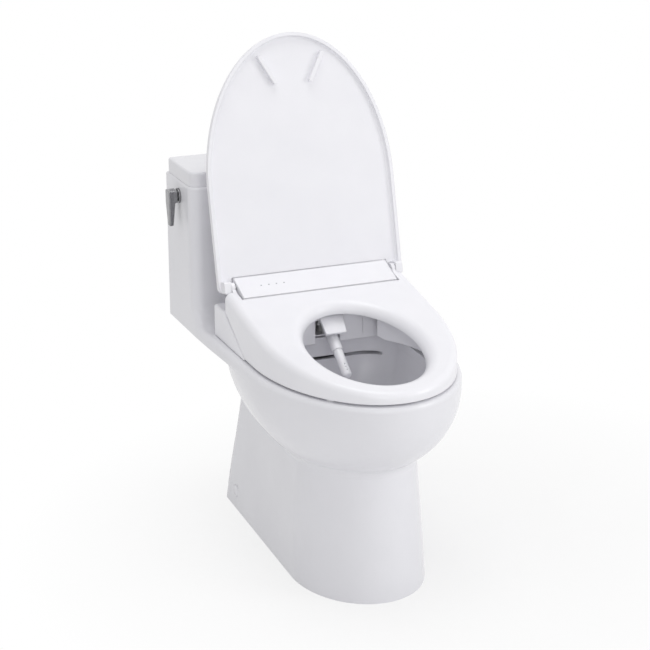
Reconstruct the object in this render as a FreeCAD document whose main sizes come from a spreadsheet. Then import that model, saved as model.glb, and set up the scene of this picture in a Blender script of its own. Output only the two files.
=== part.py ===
import FreeCAD, Part
import math
import os
import re

# One-piece toilet with a washing seat.
# Frame: origin at the centre of the waste outlet on the floor, +Z up, the user faces -Y.
# A size that ends in _f is a distance forward of the tank's back plane, _z a height above the
# floor and _x a distance to the side of the middle plane. The lid is drawn in its own frame:
# _v runs from the hinge line towards its front edge and _n stands square to its inner face.

SIZES = {
    # frame and clearances
    "outlet_f": 287.0,
    "overrun": 5.0,
    "fit_gap": 0.05,
    "clear_gap": 0.3,
    # tank
    "tank_half_width": 206.5,
    "tank_depth": 154.0,
    "tank_top_z": 696.0,
    "tank_wall": 14.0,
    "tank_floor": 17.0,
    "tank_corner_radius": 22.0,
    "tank_top_radius": 6.0,
    "tank_to_deck_radius": 46.0,
    "tank_inner_radius": 18.0,
    # rim and deck
    "rim_z": 418.0,
    "rim_half_width": 198.0,
    "rim_front_f": 719.0,
    "rim_nose": 281.0,
    "rim_edge_radius": 11.0,
    "deck_thickness": 23.0,
    # bowl outside
    "hull_depth": 185.0,
    "hull_back_f": 40.0,
    "ceramic_wall": 13.0,
    "crease_radius": 20.0,
    # block below the tank, which carries the flush passage
    "sump_half_width": 92.0,
    "sump_back_f": 16.0,
    "sump_front_f": 230.0,
    "sump_depth": 94.0,
    # pedestal
    "foot_back_f": 53.0,
    "foot_back_half_width": 117.0,
    "foot_half_width": 129.0,
    "foot_widest_f": 478.0,
    "foot_front_f": 643.0,
    "neck_z": 265.0,
    "neck_back_f": 114.0,
    "neck_back_half_width": 101.0,
    "neck_half_width": 113.0,
    "neck_widest_f": 470.0,
    "neck_front_f": 619.0,
    "pedestal_corner_radius": 24.0,
    "pedestal_hollow_z": 300.0,
    # bowl inside
    "bowl_half_width": 131.0,
    "bowl_back_f": 322.0,
    "bowl_widest_f": 462.0,
    "bowl_front_f": 682.0,
    "bowl_corner_radius": 64.0,
    "bowl_shoulder_z": 358.0,
    "bowl_waist_z": 290.0,
    "bowl_waist_half_width": 97.0,
    "bowl_waist_back_f": 352.0,
    "bowl_waist_front_f": 620.0,
    "bowl_waist_radius": 60.0,
    "well_z": 188.0,
    "well_half_width": 44.0,
    "well_corner_radius": 40.0,
    # trapway
    "trap_radius": 27.0,
    "trap_wall": 12.0,
    "trap_bend_radius": 55.0,
    "trap_rise_deg": 39.0,
    "trap_run": 89.3,
    "horn_end_z": 14.0,
    # flush passage
    "passage_radius": 36.0,
    "passage_half_width": 30.0,
    "passage_height": 34.0,
    "passage_low_z": 346.0,
    "port_half_width": 118.0,
    "port_low_z": 372.0,
    "port_height": 7.0,
    "port_back_f": 298.0,
    "port_front_f": 352.0,
    # tank lid
    "cover_side_inset": 2.0,
    "cover_back_f": 6.0,
    "cover_front_f": 150.0,
    "cover_thickness": 29.0,
    "cover_edge_radius": 5.0,
    "cover_lip_depth": 9.0,
    "cover_lip_gap": 3.0,
    "cover_lip_wall": 10.0,
    # floor connection
    "adapter_radius": 88.0,
    "adapter_plate": 8.0,
    "adapter_bore_radius": 40.0,
    "adapter_collar_height": 32.0,
    "adapter_collar_wall": 6.0,
    "gasket_wall": 7.0,
    "gasket_height": 28.0,
    "closet_bolt_spacing": 152.4,
    "closet_hole_radius": 4.8,
    "bracket_f": 133.0,
    "bracket_width": 40.0,
    "bracket_reach": 40.0,
    "bracket_height": 62.0,
    "bracket_plate": 4.0,
    "bracket_x": 97.0,
    "bracket_hole_radius": 3.5,
    "side_screw_z": 38.0,
    "side_screw_radius": 3.0,
    "side_screw_hole_radius": 4.0,
    "side_screw_head_radius": 5.5,
    "side_screw_head": 4.0,
    "side_screw_over": 3.0,
    "side_screw_seat_x": 110.0,
    "side_cap_radius": 12.5,
    "side_cap_thickness": 3.6,
    # lever
    "lever_f": 79.0,
    "lever_below_top": 32.0,
    "spindle_radius": 5.0,
    "spindle_length": 52.0,
    "bushing_radius": 9.0,
    "bushing_flange_radius": 15.0,
    "bushing_flange": 4.0,
    "bushing_thread": 14.0,
    "lever_nut_radius": 15.0,
    "lever_nut": 8.0,
    "lever_boss_radius": 11.0,
    "lever_boss": 1.2,
    "lever_thickness": 18.7,
    "lever_head_half_width": 12.0,
    "lever_head_rise": 12.5,
    "lever_head_drop": 12.0,
    "lever_arm_drop": 58.0,
    "lever_arm_root": 13.0,
    "lever_arm_end": 8.5,
    "lever_arm_end_width": 13.0,
    "lever_edge_radius": 2.0,
    "crank_inset": 30.5,
    "crank_reach": 42.0,
    "crank_collar_radius": 9.0,
    "crank_collar": 10.0,
    "crank_bar": 6.0,
    "crank_bar_gap": 1.25,
    "crank_rod_radius": 3.0,
    "crank_rod_over": 9.0,
    "lift_wire_radius": 1.2,
    "lift_hook_width": 17.0,
    "lift_hook_height": 13.0,
    "lift_hook_wall": 2.0,
    "lift_hook_gap": 0.6,
    "lift_hook_shift": 2.4,
    # flush valve
    "flush_f": 77.5,
    "flush_gasket_radius": 41.5,
    "flush_gasket": 3.0,
    "flush_flange_radius": 55.0,
    "flush_flange": 6.0,
    "flush_bore_radius": 28.0,
    "flush_spigot_wall": 4.0,
    "flush_spigot": 26.0,
    "flush_seat_wall": 6.0,
    "flush_seat_height": 25.0,
    "overflow_x": 49.0,
    "overflow_radius": 11.0,
    "overflow_wall": 2.0,
    "overflow_below_top": 115.0,
    "flush_bolt_x": 38.0,
    "flush_bolt_spread": 26.0,
    "flush_bolt_radius": 3.0,
    "flush_bolt_head_radius": 5.5,
    "flush_bolt_head": 5.0,
    "flush_bolt_depth": 12.0,
    "flapper_radius": 33.0,
    "flapper_plate": 6.0,
    "flapper_seal": 2.0,
    "flapper_hinge_reach": 45.0,
    "flapper_hinge_rise": 12.0,
    "flapper_arm_half_width": 10.0,
    "flapper_barrel_radius": 4.0,
    "flapper_ear": 4.0,
    "flapper_pin_radius": 2.0,
    "flapper_tab_half_width": 8.0,
    "flapper_bar_radius": 1.5,
    "flapper_bar_rise": 10.0,
    "flapper_bar_f": 40.0,
    "flapper_post": 3.0,
    "flapper_arm_back": 20.0,
    "flapper_seal_wall": 7.0,
    "flapper_seal_gap": 0.2,
    "flapper_ear_x": 14.0,
    "flapper_ear_half": 5.0,
    "overflow_boss_half": 8.0,
    "overflow_boss_height": 20.0,
    "overflow_port_half": 5.0,
    "overflow_port_low": 4.0,
    "overflow_port_height": 12.0,
    # fill valve
    "fill_inset": 56.5,
    "fill_shank_radius": 11.0,
    "fill_shank_drop": 12.0,
    "fill_tail_radius": 10.4,
    "fill_tail": 32.0,
    "fill_hole_radius": 12.5,
    "fill_flange_radius": 17.0,
    "fill_flange": 5.0,
    "fill_washer": 3.0,
    "fill_bore_radius": 4.0,
    "fill_riser_radius": 9.0,
    "fill_cap_below_top": 94.0,
    "fill_cap_radius": 16.0,
    "fill_cap_height": 18.0,
    "fill_nut_radius": 19.0,
    "fill_nut": 10.0,
    "float_radius": 30.0,
    "float_height": 55.0,
    "float_below_cap": 97.0,
    "float_gap": 0.6,
    "float_link_radius": 1.5,
    "float_link_reach": 22.0,
    "valve_arm_pivot_reach": 12.0,
    "valve_arm_half_width": 4.0,
    "valve_arm": 4.0,
    "valve_arm_rise": 3.0,
    "valve_arm_over": 5.0,
    "valve_pin_radius": 1.5,
    "valve_ear": 3.0,
    "refill_radius": 3.5,
    "refill_bore_radius": 2.0,
    "refill_bend_radius": 16.0,
    "refill_dip": 18.0,
    "refill_clip": 4.0,
    "refill_clip_wall": 2.0,
    "refill_clip_skirt": 8.0,
    "refill_nipple": 8.0,
    "refill_vent_radius": 2.0,
    "refill_vent_reach": 6.3,
    # seat unit fixing
    "plate_half_width": 110.0,
    "plate_back_f": 232.0,
    "plate_front_f": 300.0,
    "plate_thickness": 6.0,
    "plate_bolt_spacing": 140.0,
    "plate_bolt_f": 266.0,
    "plate_bolt_radius": 4.0,
    "plate_bolt_head_radius": 8.0,
    "plate_bolt_head": 5.0,
    "bush_radius": 8.9,
    "bush_length": 20.0,
    # seat unit housing
    "unit_half_width": 160.0,
    "unit_back_f": 226.0,
    "unit_front_f": 356.0,
    "unit_lift": 1.5,
    "unit_wall": 3.0,
    "unit_split_z": 491.0,
    "unit_nose_z": 479.0,
    "unit_nose_f": 350.0,
    "unit_step_f": 315.0,
    "seam_near_x": 68.0,
    "seam_far_x": 119.0,
    "seam_low_z": 429.0,
    "seam_high_z": 466.0,
    "seam_width": 1.0,
    "wing_half_width": 188.0,
    "wing_tip_f": 390.0,
    "wing_bend_f": 276.0,
    "wing_bend_z": 481.0,
    "wing_tip_height": 4.0,
    "wing_edge_radius": 5.0,
    "hinge_f": 271.3,
    "hinge_z": 524.6,
    "hood_crest_f": 252.0,
    "hood_crest_z": 533.5,
    "hood_waist_f": 236.0,
    "hood_waist_z": 515.0,
    "panel_back_f": 256.0,
    "panel_back_z": 539.0,
    "panel_front_f": 315.0,
    "panel_front_z": 516.0,
    "panel_thickness": 2.5,
    "panel_gap": 0.5,
    "lens_radius": 1.6,
    "lens_height": 1.2,
    "lens_first_x": 113.0,
    "lens_pitch": 15.6,
    "hood_wall": 6.0,
    "pin_radius": 4.0,
    "pin_inner_x": 120.0,
    "damper_radius": 8.0,
    "damper_flat": 4.0,
    "damper_length": 48.0,
    # inside the unit
    "board_length": 110.0,
    "board_width": 30.0,
    "board_along": 4.0,
    "board_thickness": 1.6,
    "board_x": 38.0,
    "heater_radius": 17.0,
    "heater_length": 90.0,
    "heater_x": 60.0,
    "heater_f": 285.0,
    "valve_block_length": 46.0,
    "valve_block_depth": 30.0,
    "valve_block_height": 28.0,
    "valve_block_x": 100.0,
    "valve_block_f": 314.0,
    "fan_radius": 20.0,
    "fan_height": 26.0,
    "fan_x": 110.0,
    "fan_f": 300.0,
    "inlet_x": 140.0,
    "inlet_z": 447.0,
    "inlet_radius": 10.4,
    "inlet_bore_radius": 6.0,
    "inlet_length": 16.0,
    "inlet_flange_radius": 13.0,
    "inlet_flange": 3.0,
    "gland_radius": 8.0,
    "gland_bore_radius": 3.5,
    "gland_length": 12.0,
    # wand
    "wand_tip_f": 443.0,
    "wand_tip_z": 378.5,
    "wand_drop_deg": 36.0,
    "sleeve_radius": 11.2,
    "sleeve_bore_radius": 9.9,
    "sleeve_length": 84.0,
    "nozzle_radius": 9.5,
    "nozzle_out": 60.0,
    "nozzle_length": 80.0,
    "spray_hole_radius": 1.2,
    "spray_hole_depth": 5.0,
    "spray_hole_pitch": 7.0,
    "spray_hole_first": 10.5,
    "wand_slot_left": 30.0,
    "wand_slot_right": 21.0,
    "wand_slot_high_z": 466.0,
    "wand_slot_back_f": 326.0,
    "guide_wall": 3.0,
    "guide_side": 10.0,
    "guide_back_f": 284.0,
    "guide_front_f": 334.0,
    "guide_web": 6.0,
    "guide_web_f": 308.0,
    "guide_slot": 26.0,
    "pinion_radius": 8.0,
    "pinion_width": 8.0,
    "pinion_along": 126.0,
    "pinion_shaft_radius": 2.0,
    "motor_radius": 9.0,
    "motor_length": 30.0,
    "motor_x": 26.0,
    "motor_foot": 10.0,
    # gate
    "gate_f": 359.5,
    "gate_z": 472.0,
    "gate_pin_radius": 1.5,
    "gate_half_width": 24.0,
    "gate_end_half_width": 21.0,
    "gate_plate": 7.0,
    "gate_length": 38.0,
    "gate_open_deg": 48.0,
    "gate_barrel_radius": 3.5,
    "gate_edge_radius": 1.0,
    "gate_lug": 3.0,
    "gate_lug_height": 7.0,
    # seat
    "seat_half_width": 187.0,
    "seat_front_f": 714.0,
    "seat_horn_f": 286.5,
    "seat_notch_f": 317.5,
    "seat_notch_half_width": 163.3,
    "seat_top_back_z": 520.0,
    "seat_top_front_z": 441.0,
    "seat_low_z": 422.5,
    "seat_flank_f": 392.0,
    "seat_flank_z": 484.0,
    "seat_hole_half_width": 106.0,
    "seat_hole_back_f": 376.0,
    "seat_hole_front_f": 662.0,
    "seat_bridge": 22.0,
    "seat_undercut": 34.0,
    "seat_edge_radius": 14.0,
    "seat_hole_radius": 23.0,
    "seat_shell": 8.0,
    "seat_pan": 3.0,
    "seat_pan_back_f": 397.0,
    "seat_foil": 0.8,
    "seat_foil_inset": 2.0,
    "seat_arm_width": 7.7,
    "seat_arm_radius": 10.0,
    "seat_arm_low": 19.0,
    "seat_foot_radius": 9.0,
    "seat_foot_gap": 0.3,
    "seat_foot_back_x": 152.0,
    "seat_foot_back_f": 480.0,
    "seat_foot_front_x": 114.0,
    "seat_foot_front_f": 638.0,
    # lid
    "lid_half_width": 192.0,
    "lid_widest_v": 186.0,
    "lid_front_v": 475.0,
    "lid_back_v": 12.5,
    "lid_gap_v": 18.3,
    "lid_gap_half_width": 161.8,
    "lid_inner_n": 12.5,
    "lid_plate": 8.0,
    "lid_lip": 7.5,
    "lid_lip_wall": 7.0,
    "lid_edge_radius": 6.0,
    "lid_cove_radius": 5.0,
    "lid_lean_deg": 14.3,
    "lid_block_radius": 12.5,
    "lid_block_width": 14.0,
    "lid_block_gap": 0.8,
    "lid_block_cap": 1.5,
    "lid_block_front": 11.0,
    "lid_block_round": 4.0,
    "lid_corner_radius": 18.0,
    "bar_width": 8.0,
    "bar_height": 9.9,
    "bar_low_x": 37.0,
    "bar_low_v": 382.0,
    "bar_high_x": 64.0,
    "bar_high_v": 431.0,
}

doc = FreeCAD.newDocument("toilet")
sheet = doc.addObject("Spreadsheet::Sheet", "sizes")
for row, (alias, value) in enumerate(SIZES.items(), start=1):
    sheet.set("A%d" % row, alias)
    sheet.set("B%d" % row, str(value))
    sheet.setAlias("B%d" % row, alias)
doc.recompute()


class SheetValues:
    """Reads a size from the sheet by its alias."""

    def __getattr__(self, alias):
        return float(sheet.get(alias))


v = SheetValues()
NODES = []
SIDES = (1, -1)
LENS_COUNT = 4
SPRAY_HOLE_COUNT = 3
X_AXIS = FreeCAD.Vector(1, 0, 0)
Y_AXIS = FreeCAD.Vector(0, 1, 0)
Z_AXIS = FreeCAD.Vector(0, 0, 1)


def vec(x, y, z):
    return FreeCAD.Vector(x, y, z)


def back(forward):
    """Y of a place given as a distance forward of the tank's back plane."""
    return v.outlet_f - forward


# Document objects

def bind(obj, **formulas):
    """Binds properties to formulas in which each word is a cell of the sheet, or sets a number."""
    for name, formula in formulas.items():
        if isinstance(formula, str):
            obj.setExpression(name, re.sub(r"[A-Za-z_]\w*", lambda word: "sizes." + word.group(0), formula))
        else:
            setattr(obj, name, formula)
    return obj


def keep(obj, label):
    obj.Label = label
    NODES.append(obj)
    return obj


def box(length, width, height, corner):
    obj = doc.addObject("Part::Box", "block")
    bind(obj, Length=length, Width=width, Height=height)
    obj.Placement.Base = corner
    return obj


def rod(radius, height, start, axis=Z_AXIS):
    obj = doc.addObject("Part::Cylinder", "rod")
    bind(obj, Radius=radius, Height=height)
    obj.Placement = FreeCAD.Placement(start, FreeCAD.Rotation(Z_AXIS, axis))
    return obj


def solid(shape):
    """A shape of its own that no primitive gives."""
    obj = doc.addObject("Part::Feature", "form")
    place = shape.Placement
    obj.Shape = shape
    obj.Placement = place
    return obj


def fuse(*parts):
    obj = doc.addObject("Part::MultiFuse", "joined")
    obj.Shapes = list(parts)
    obj.Refine = True
    return obj


def group(*parts):
    obj = doc.addObject("Part::Compound", "set")
    obj.Links = list(parts)
    return obj


def cut(base, *tools):
    obj = doc.addObject("Part::Cut", "cut")
    obj.Base = base
    obj.Tool = tools[0] if len(tools) == 1 else fuse(*tools)
    return obj


def rounded(base, choose):
    """Rounds the edges for which choose gives one radius, or one for the upper and the lower end."""
    doc.recompute()
    rows = []
    for number, edge in enumerate(base.Shape.Edges, start=1):
        radii = choose(edge)
        if radii is None:
            continue
        high, low = radii if isinstance(radii, tuple) else (radii, radii)
        falls = edge.valueAt(edge.FirstParameter).z > edge.valueAt(edge.LastParameter).z
        rows.append((number, high, low) if falls else (number, low, high))
    obj = doc.addObject("Part::Fillet", "rounded")
    obj.Base = base
    obj.Edges = rows
    return obj


def tube(outer, inner, height, start, axis=Z_AXIS):
    return cut(rod(outer, height, start, axis), rod(inner, height, start, axis))


# Outlines and blocks

def profile(places, half_width):
    """Block over the full width whose side view goes through the places (forward, height)."""
    points = [vec(-half_width, back(forward), z) for forward, z in places]
    face = Part.Face(Part.makePolygon(points + points[:1]))
    return face.extrude(vec(2 * half_width, 0, 0))


def side_profile(places, near_x, far_x):
    """The same between two distances from the middle plane, on both sides."""
    pair = []
    for side in SIDES:
        points = [vec(side * near_x, back(forward), z) for forward, z in places]
        face = Part.Face(Part.makePolygon(points + points[:1]))
        pair.append(face.extrude(vec(side * (far_x - near_x), 0, 0)))
    return pair


def ellipse_arc(x_half, y_half, y_mid, z, start_deg, end_deg):
    """Arc of a level ellipse longer in Y than in X; angles run from +X towards +Y."""
    mid = vec(0, y_mid, z)
    tall = y_half >= x_half
    curve = Part.Ellipse(mid, max(x_half, y_half), min(x_half, y_half))
    curve.Axis = Z_AXIS
    curve.XAxis = Y_AXIS if tall else X_AXIS
    shift = 90 if tall else 0
    return Part.ArcOfEllipse(curve, math.radians(start_deg - shift), math.radians(end_deg - shift)).toShape()


def full_ellipse(x_half, y_back, y_front, z):
    y_mid = (y_back + y_front) / 2
    y_half = (y_back - y_front) / 2
    arcs = [ellipse_arc(x_half, y_half, y_mid, z, start, start + 180) for start in (0, 180)]
    return Part.Wire(arcs)


def egg_outline(half_width, y_back, y_mid, y_front, z):
    """Straight back and sides with a half ellipse in front."""
    edges = [
        Part.makeLine(vec(half_width, y_mid, z), vec(half_width, y_back, z)),
        Part.makeLine(vec(half_width, y_back, z), vec(-half_width, y_back, z)),
        Part.makeLine(vec(-half_width, y_back, z), vec(-half_width, y_mid, z)),
        ellipse_arc(half_width, y_mid - y_front, y_mid, z, 180, 360),
    ]
    return Part.Wire(edges)


def raised(wire, height):
    return Part.Face(wire).extrude(vec(0, 0, height))


# Ceramic body

DECK_UNDER_Z = v.rim_z - v.deck_thickness
RIM_WIDEST_F = v.rim_front_f - v.rim_nose
TANK_FLOOR_Z = DECK_UNDER_Z + v.tank_floor
TANK_FRONT_Y = back(v.tank_depth)
TRAP_RISE = math.radians(v.trap_rise_deg)
WELL_F = v.outlet_f + v.trap_bend_radius * (1 + math.sin(TRAP_RISE)) + v.trap_run * math.cos(TRAP_RISE)
FILL_X = v.tank_half_width - v.fill_inset
CRANK_X = v.tank_half_width - v.crank_inset
LEVER_Z = v.tank_top_z - v.lever_below_top


def rim_outline(z):
    """Tank and rim seen from above: straight tank sides, a gentle bend, a half ellipse."""
    y_mid = back(RIM_WIDEST_F)
    y_pull = (TANK_FRONT_Y - y_mid) / 3
    edges = []
    for side in SIDES:
        wide = side * v.tank_half_width
        slim = side * v.rim_half_width
        bend = Part.BezierCurve()
        bend.setPoles([
            vec(wide, TANK_FRONT_Y, z),
            vec(wide, TANK_FRONT_Y - y_pull, z),
            vec(slim, y_mid + y_pull, z),
            vec(slim, y_mid, z),
        ])
        edges.append(Part.makeLine(vec(wide, back(0), z), vec(wide, TANK_FRONT_Y, z)))
        edges.append(bend.toShape())
    edges.append(Part.makeLine(vec(-v.tank_half_width, back(0), z), vec(v.tank_half_width, back(0), z)))
    edges.append(ellipse_arc(v.rim_half_width, v.rim_front_f - RIM_WIDEST_F, y_mid, z, 180, 360))
    return Part.Wire(Part.__sortEdges__(edges))


def tank_and_deck():
    """L-shaped side view, swept over the width and trimmed to the outline from above."""
    wide = v.tank_half_width + v.overrun
    y_back = back(-v.overrun)
    y_front = back(v.rim_front_f + v.overrun)
    bend = v.tank_to_deck_radius
    bend_share = 1 - math.sqrt(0.5)
    bend_top = vec(-wide, TANK_FRONT_Y, v.rim_z + bend)
    bend_mid = vec(-wide, TANK_FRONT_Y - bend * bend_share, v.rim_z + bend * bend_share)
    bend_end = vec(-wide, TANK_FRONT_Y - bend, v.rim_z)
    corners = [
        bend_end,
        vec(-wide, y_front, v.rim_z),
        vec(-wide, y_front, DECK_UNDER_Z),
        vec(-wide, y_back, DECK_UNDER_Z),
        vec(-wide, y_back, v.tank_top_z),
        vec(-wide, TANK_FRONT_Y, v.tank_top_z),
        bend_top,
    ]
    edges = [Part.makeLine(start, end) for start, end in zip(corners, corners[1:])]
    edges.append(Part.Arc(bend_top, bend_mid, bend_end).toShape())
    swept = Part.Face(Part.Wire(edges)).extrude(vec(2 * wide, 0, 0))
    plan = raised(rim_outline(DECK_UNDER_Z - v.overrun), v.tank_top_z - DECK_UNDER_Z + 2 * v.overrun)
    return swept.common(plan)


def tank_and_deck_radius(edge):
    """Radius of an edge between the sides and the tank front, the bend, the deck or the rim."""
    near = v.overrun / 10
    span = edge.BoundBox
    middle = edge.valueAt((edge.FirstParameter + edge.LastParameter) / 2)
    level = span.ZLength < near and abs(span.ZMax - v.rim_z) < near
    upright = span.YLength < near and abs(span.YMax - TANK_FRONT_Y) < near and span.ZMin > v.rim_z
    on_side = abs(middle.x) > v.rim_half_width - near
    if upright and on_side:
        return v.tank_corner_radius
    in_bend = abs(span.ZMin - v.rim_z) < near and span.YMax < TANK_FRONT_Y + near
    if on_side and in_bend and not level:
        return v.tank_corner_radius, v.rim_edge_radius
    if level and span.YLength > v.tank_to_deck_radius:
        return v.rim_edge_radius
    return None


def tank_top_edge(edge):
    """Radius of the outer edge round the tank's top."""
    return v.tank_top_radius if edge.BoundBox.ZMin > v.tank_top_z - v.clear_gap else None


def skirt_outline(z, back_f, back_half, widest_half, widest_f, front_f, corner):
    """Pedestal seen from above: straight back, round corners, straight sides, elliptic front."""
    y_back = back(back_f)
    y_wide = back(widest_f)
    edges = [ellipse_arc(widest_half, front_f - widest_f, y_wide, z, 180, 360)]
    lean = math.atan2(widest_half - back_half, y_back - y_wide)
    reach = corner * math.tan((math.pi / 2 + lean) / 2)
    for side in SIDES:
        tip = vec(side * back_half, y_back, z)
        along = vec(side * math.sin(lean), -math.cos(lean), 0)
        inward = vec(-side, 0, 0)
        bisector = (along + inward).normalize()
        side_end = tip + along * reach
        back_end = tip + inward * reach
        middle = tip + bisector * (math.hypot(reach, corner) - corner)
        edges.append(Part.makeLine(vec(side * widest_half, y_wide, z), side_end))
        edges.append(Part.Arc(side_end, middle, back_end).toShape())
    half_line = back_half - reach
    edges.append(Part.makeLine(vec(-half_line, y_back, z), vec(half_line, y_back, z)))
    return Part.Wire(Part.__sortEdges__(edges))


def pedestal(inset, low_z, top_z):
    """Skirt from the foot to the neck and straight on up, drawn in by inset all round."""
    corner_share = 1 / 3
    rows = ((low_z, 0.0), (v.neck_z / 2, 0.5), (v.neck_z, 1.0), (top_z, 1.0))
    wires = []
    for z, share in rows:
        def mix(foot, neck):
            return foot + (neck - foot) * share
        wires.append(skirt_outline(
            z,
            mix(v.foot_back_f, v.neck_back_f) + inset,
            mix(v.foot_back_half_width, v.neck_back_half_width) - inset,
            mix(v.foot_half_width, v.neck_half_width) - inset,
            mix(v.foot_widest_f, v.neck_widest_f),
            mix(v.foot_front_f, v.neck_front_f) - inset,
            max(v.pedestal_corner_radius - inset, v.pedestal_corner_radius * corner_share),
        ))
    return Part.makeLoft(wires, True, False)


def hull(inset):
    """Outside of the bowl below the rim: two half ellipsoids that meet where it is widest."""
    y_mid = back(RIM_WIDEST_F)
    reach = v.rim_front_f
    halves = []
    for y_half, side in ((v.rim_front_f - RIM_WIDEST_F, -1), (RIM_WIDEST_F - v.hull_back_f, 1)):
        stretch = FreeCAD.Matrix()
        stretch.scale(v.rim_half_width - inset, y_half - inset, v.hull_depth - inset)
        stretch.move(vec(0, y_mid, DECK_UNDER_Z))
        ball = Part.makeSphere(1).transformGeometry(stretch)
        y_low = y_mid if side > 0 else y_mid - reach
        room = Part.makeBox(2 * reach, reach, reach, vec(-reach, y_low, DECK_UNDER_Z - reach))
        halves.append(ball.common(room))
    return halves[0].fuse(halves[1])


def bowl_space(grow):
    """Inside of the bowl, grown by grow for its outer shell."""
    half = v.well_half_width
    rows = (
        (v.rim_z + v.overrun, v.bowl_half_width, v.bowl_back_f, v.bowl_front_f, v.bowl_corner_radius),
        (v.bowl_shoulder_z, v.bowl_half_width, v.bowl_back_f, v.bowl_front_f, v.bowl_corner_radius),
        (v.bowl_waist_z, v.bowl_waist_half_width, v.bowl_waist_back_f, v.bowl_waist_front_f,
         v.bowl_waist_radius),
        (v.well_z - grow, half, WELL_F - half, WELL_F + half, v.well_corner_radius),
    )
    wires = []
    for z, half, back_f, front_f, corner in rows:
        widest_f = min(v.bowl_widest_f, (back_f + front_f) / 2)
        wires.append(skirt_outline(z, back_f - grow, half + grow, half + grow, widest_f, front_f + grow,
                                   corner + grow))
    return Part.makeLoft(wires, True, False)


def trap_tube(radius):
    """Trapway: up from the bowl's well, over the weir and straight down to the outlet."""
    start = vec(0, back(WELL_F), v.well_z + v.trap_radius)
    climb = vec(0, math.cos(TRAP_RISE), math.sin(TRAP_RISE))
    inward = vec(0, math.sin(TRAP_RISE), -math.cos(TRAP_RISE))
    turn_in = start + climb * v.trap_run
    centre = turn_in + inward * v.trap_bend_radius
    turn_out = vec(0, 0, centre.z)
    half_way = ((turn_in - centre).normalize() + Y_AXIS).normalize()
    path = Part.Wire([
        Part.makeLine(start, turn_in),
        Part.Arc(turn_in, centre + half_way * v.trap_bend_radius, turn_out).toShape(),
        Part.makeLine(turn_out, vec(0, 0, v.horn_end_z)),
    ])
    circle = Part.Wire([Part.makeCircle(radius, start, climb)])
    return path.makePipeShell([circle], True, False)


def flush_passage(grow):
    """Drop from the tank floor and level channel forward to the back of the bowl."""
    low = v.passage_low_z - grow
    y_valve = back(v.flush_f)
    drop = Part.makeCylinder(v.passage_radius + grow, TANK_FLOOR_Z - low, vec(0, y_valve, low))
    half = v.passage_half_width + grow
    y_port = back(v.port_back_f + v.ceramic_wall)
    channel = Part.makeBox(2 * half, y_valve - y_port, v.passage_height + 2 * grow, vec(-half, y_port, low))
    half = v.port_half_width + grow
    y_front = back(v.port_front_f)
    port = Part.makeBox(2 * half, back(v.port_back_f - grow) - y_front, v.port_height + 2 * grow,
                        vec(-half, y_front, v.port_low_z - grow))
    return drop.fuse([channel, port])


def ceramic_holes():
    """Holes for the lever, the valves, the seat unit's bolts and the side screws."""
    wall_x = v.tank_half_width + v.overrun
    y_flush = back(v.flush_f)
    deep = v.tank_floor + v.overrun
    holes = [
        Part.makeCylinder(v.bushing_radius + v.clear_gap, v.tank_wall + 2 * v.overrun,
                          vec(-wall_x, back(v.lever_f), LEVER_Z), X_AXIS),
        Part.makeCylinder(v.fill_hole_radius, deep + v.overrun,
                          vec(-FILL_X, y_flush, DECK_UNDER_Z - v.overrun)),
    ]
    for side in SIDES:
        holes.append(Part.makeCylinder(
            v.flush_bolt_radius + v.fit_gap, v.flush_bolt_depth + v.overrun,
            vec(-v.flush_bolt_x, y_flush + side * v.flush_bolt_spread, TANK_FLOOR_Z - v.flush_bolt_depth)))
        holes.append(Part.makeCylinder(
            v.bush_radius + v.fit_gap, v.bush_length + v.overrun,
            vec(side * v.plate_bolt_spacing / 2, back(v.plate_bolt_f), v.rim_z - v.bush_length)))
        out = X_AXIS * side
        inner = vec(side * v.bracket_x, back(v.bracket_f), v.side_screw_z)
        outer = vec(side * v.side_screw_seat_x, back(v.bracket_f), v.side_screw_z)
        holes.append(Part.makeCylinder(v.side_screw_hole_radius, v.bracket_width, inner, out))
        holes.append(Part.makeCylinder(v.side_cap_radius + v.clear_gap, v.bracket_width, outer, out))
    return holes


def tank_space():
    """Inside of the tank, open at the top."""
    half = v.tank_half_width - v.tank_wall
    room = Part.makeBox(2 * half, v.tank_depth - 2 * v.tank_wall, v.tank_top_z - TANK_FLOOR_Z + v.overrun,
                        vec(-half, back(v.tank_depth - v.tank_wall), TANK_FLOOR_Z))
    upright = [edge for edge in room.Edges if edge.BoundBox.ZLength > v.tank_inner_radius]
    return room.makeFillet(v.tank_inner_radius, upright)


def crease_edge(edge):
    """True for the hollow line where the bowl meets the pedestal."""
    span = edge.BoundBox
    far = max(abs(span.XMin), abs(span.XMax))
    low = v.neck_z - v.hull_depth / 2
    return low < span.ZMin and span.ZMax < DECK_UNDER_Z - v.overrun and far > v.sump_half_width + v.overrun


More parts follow.
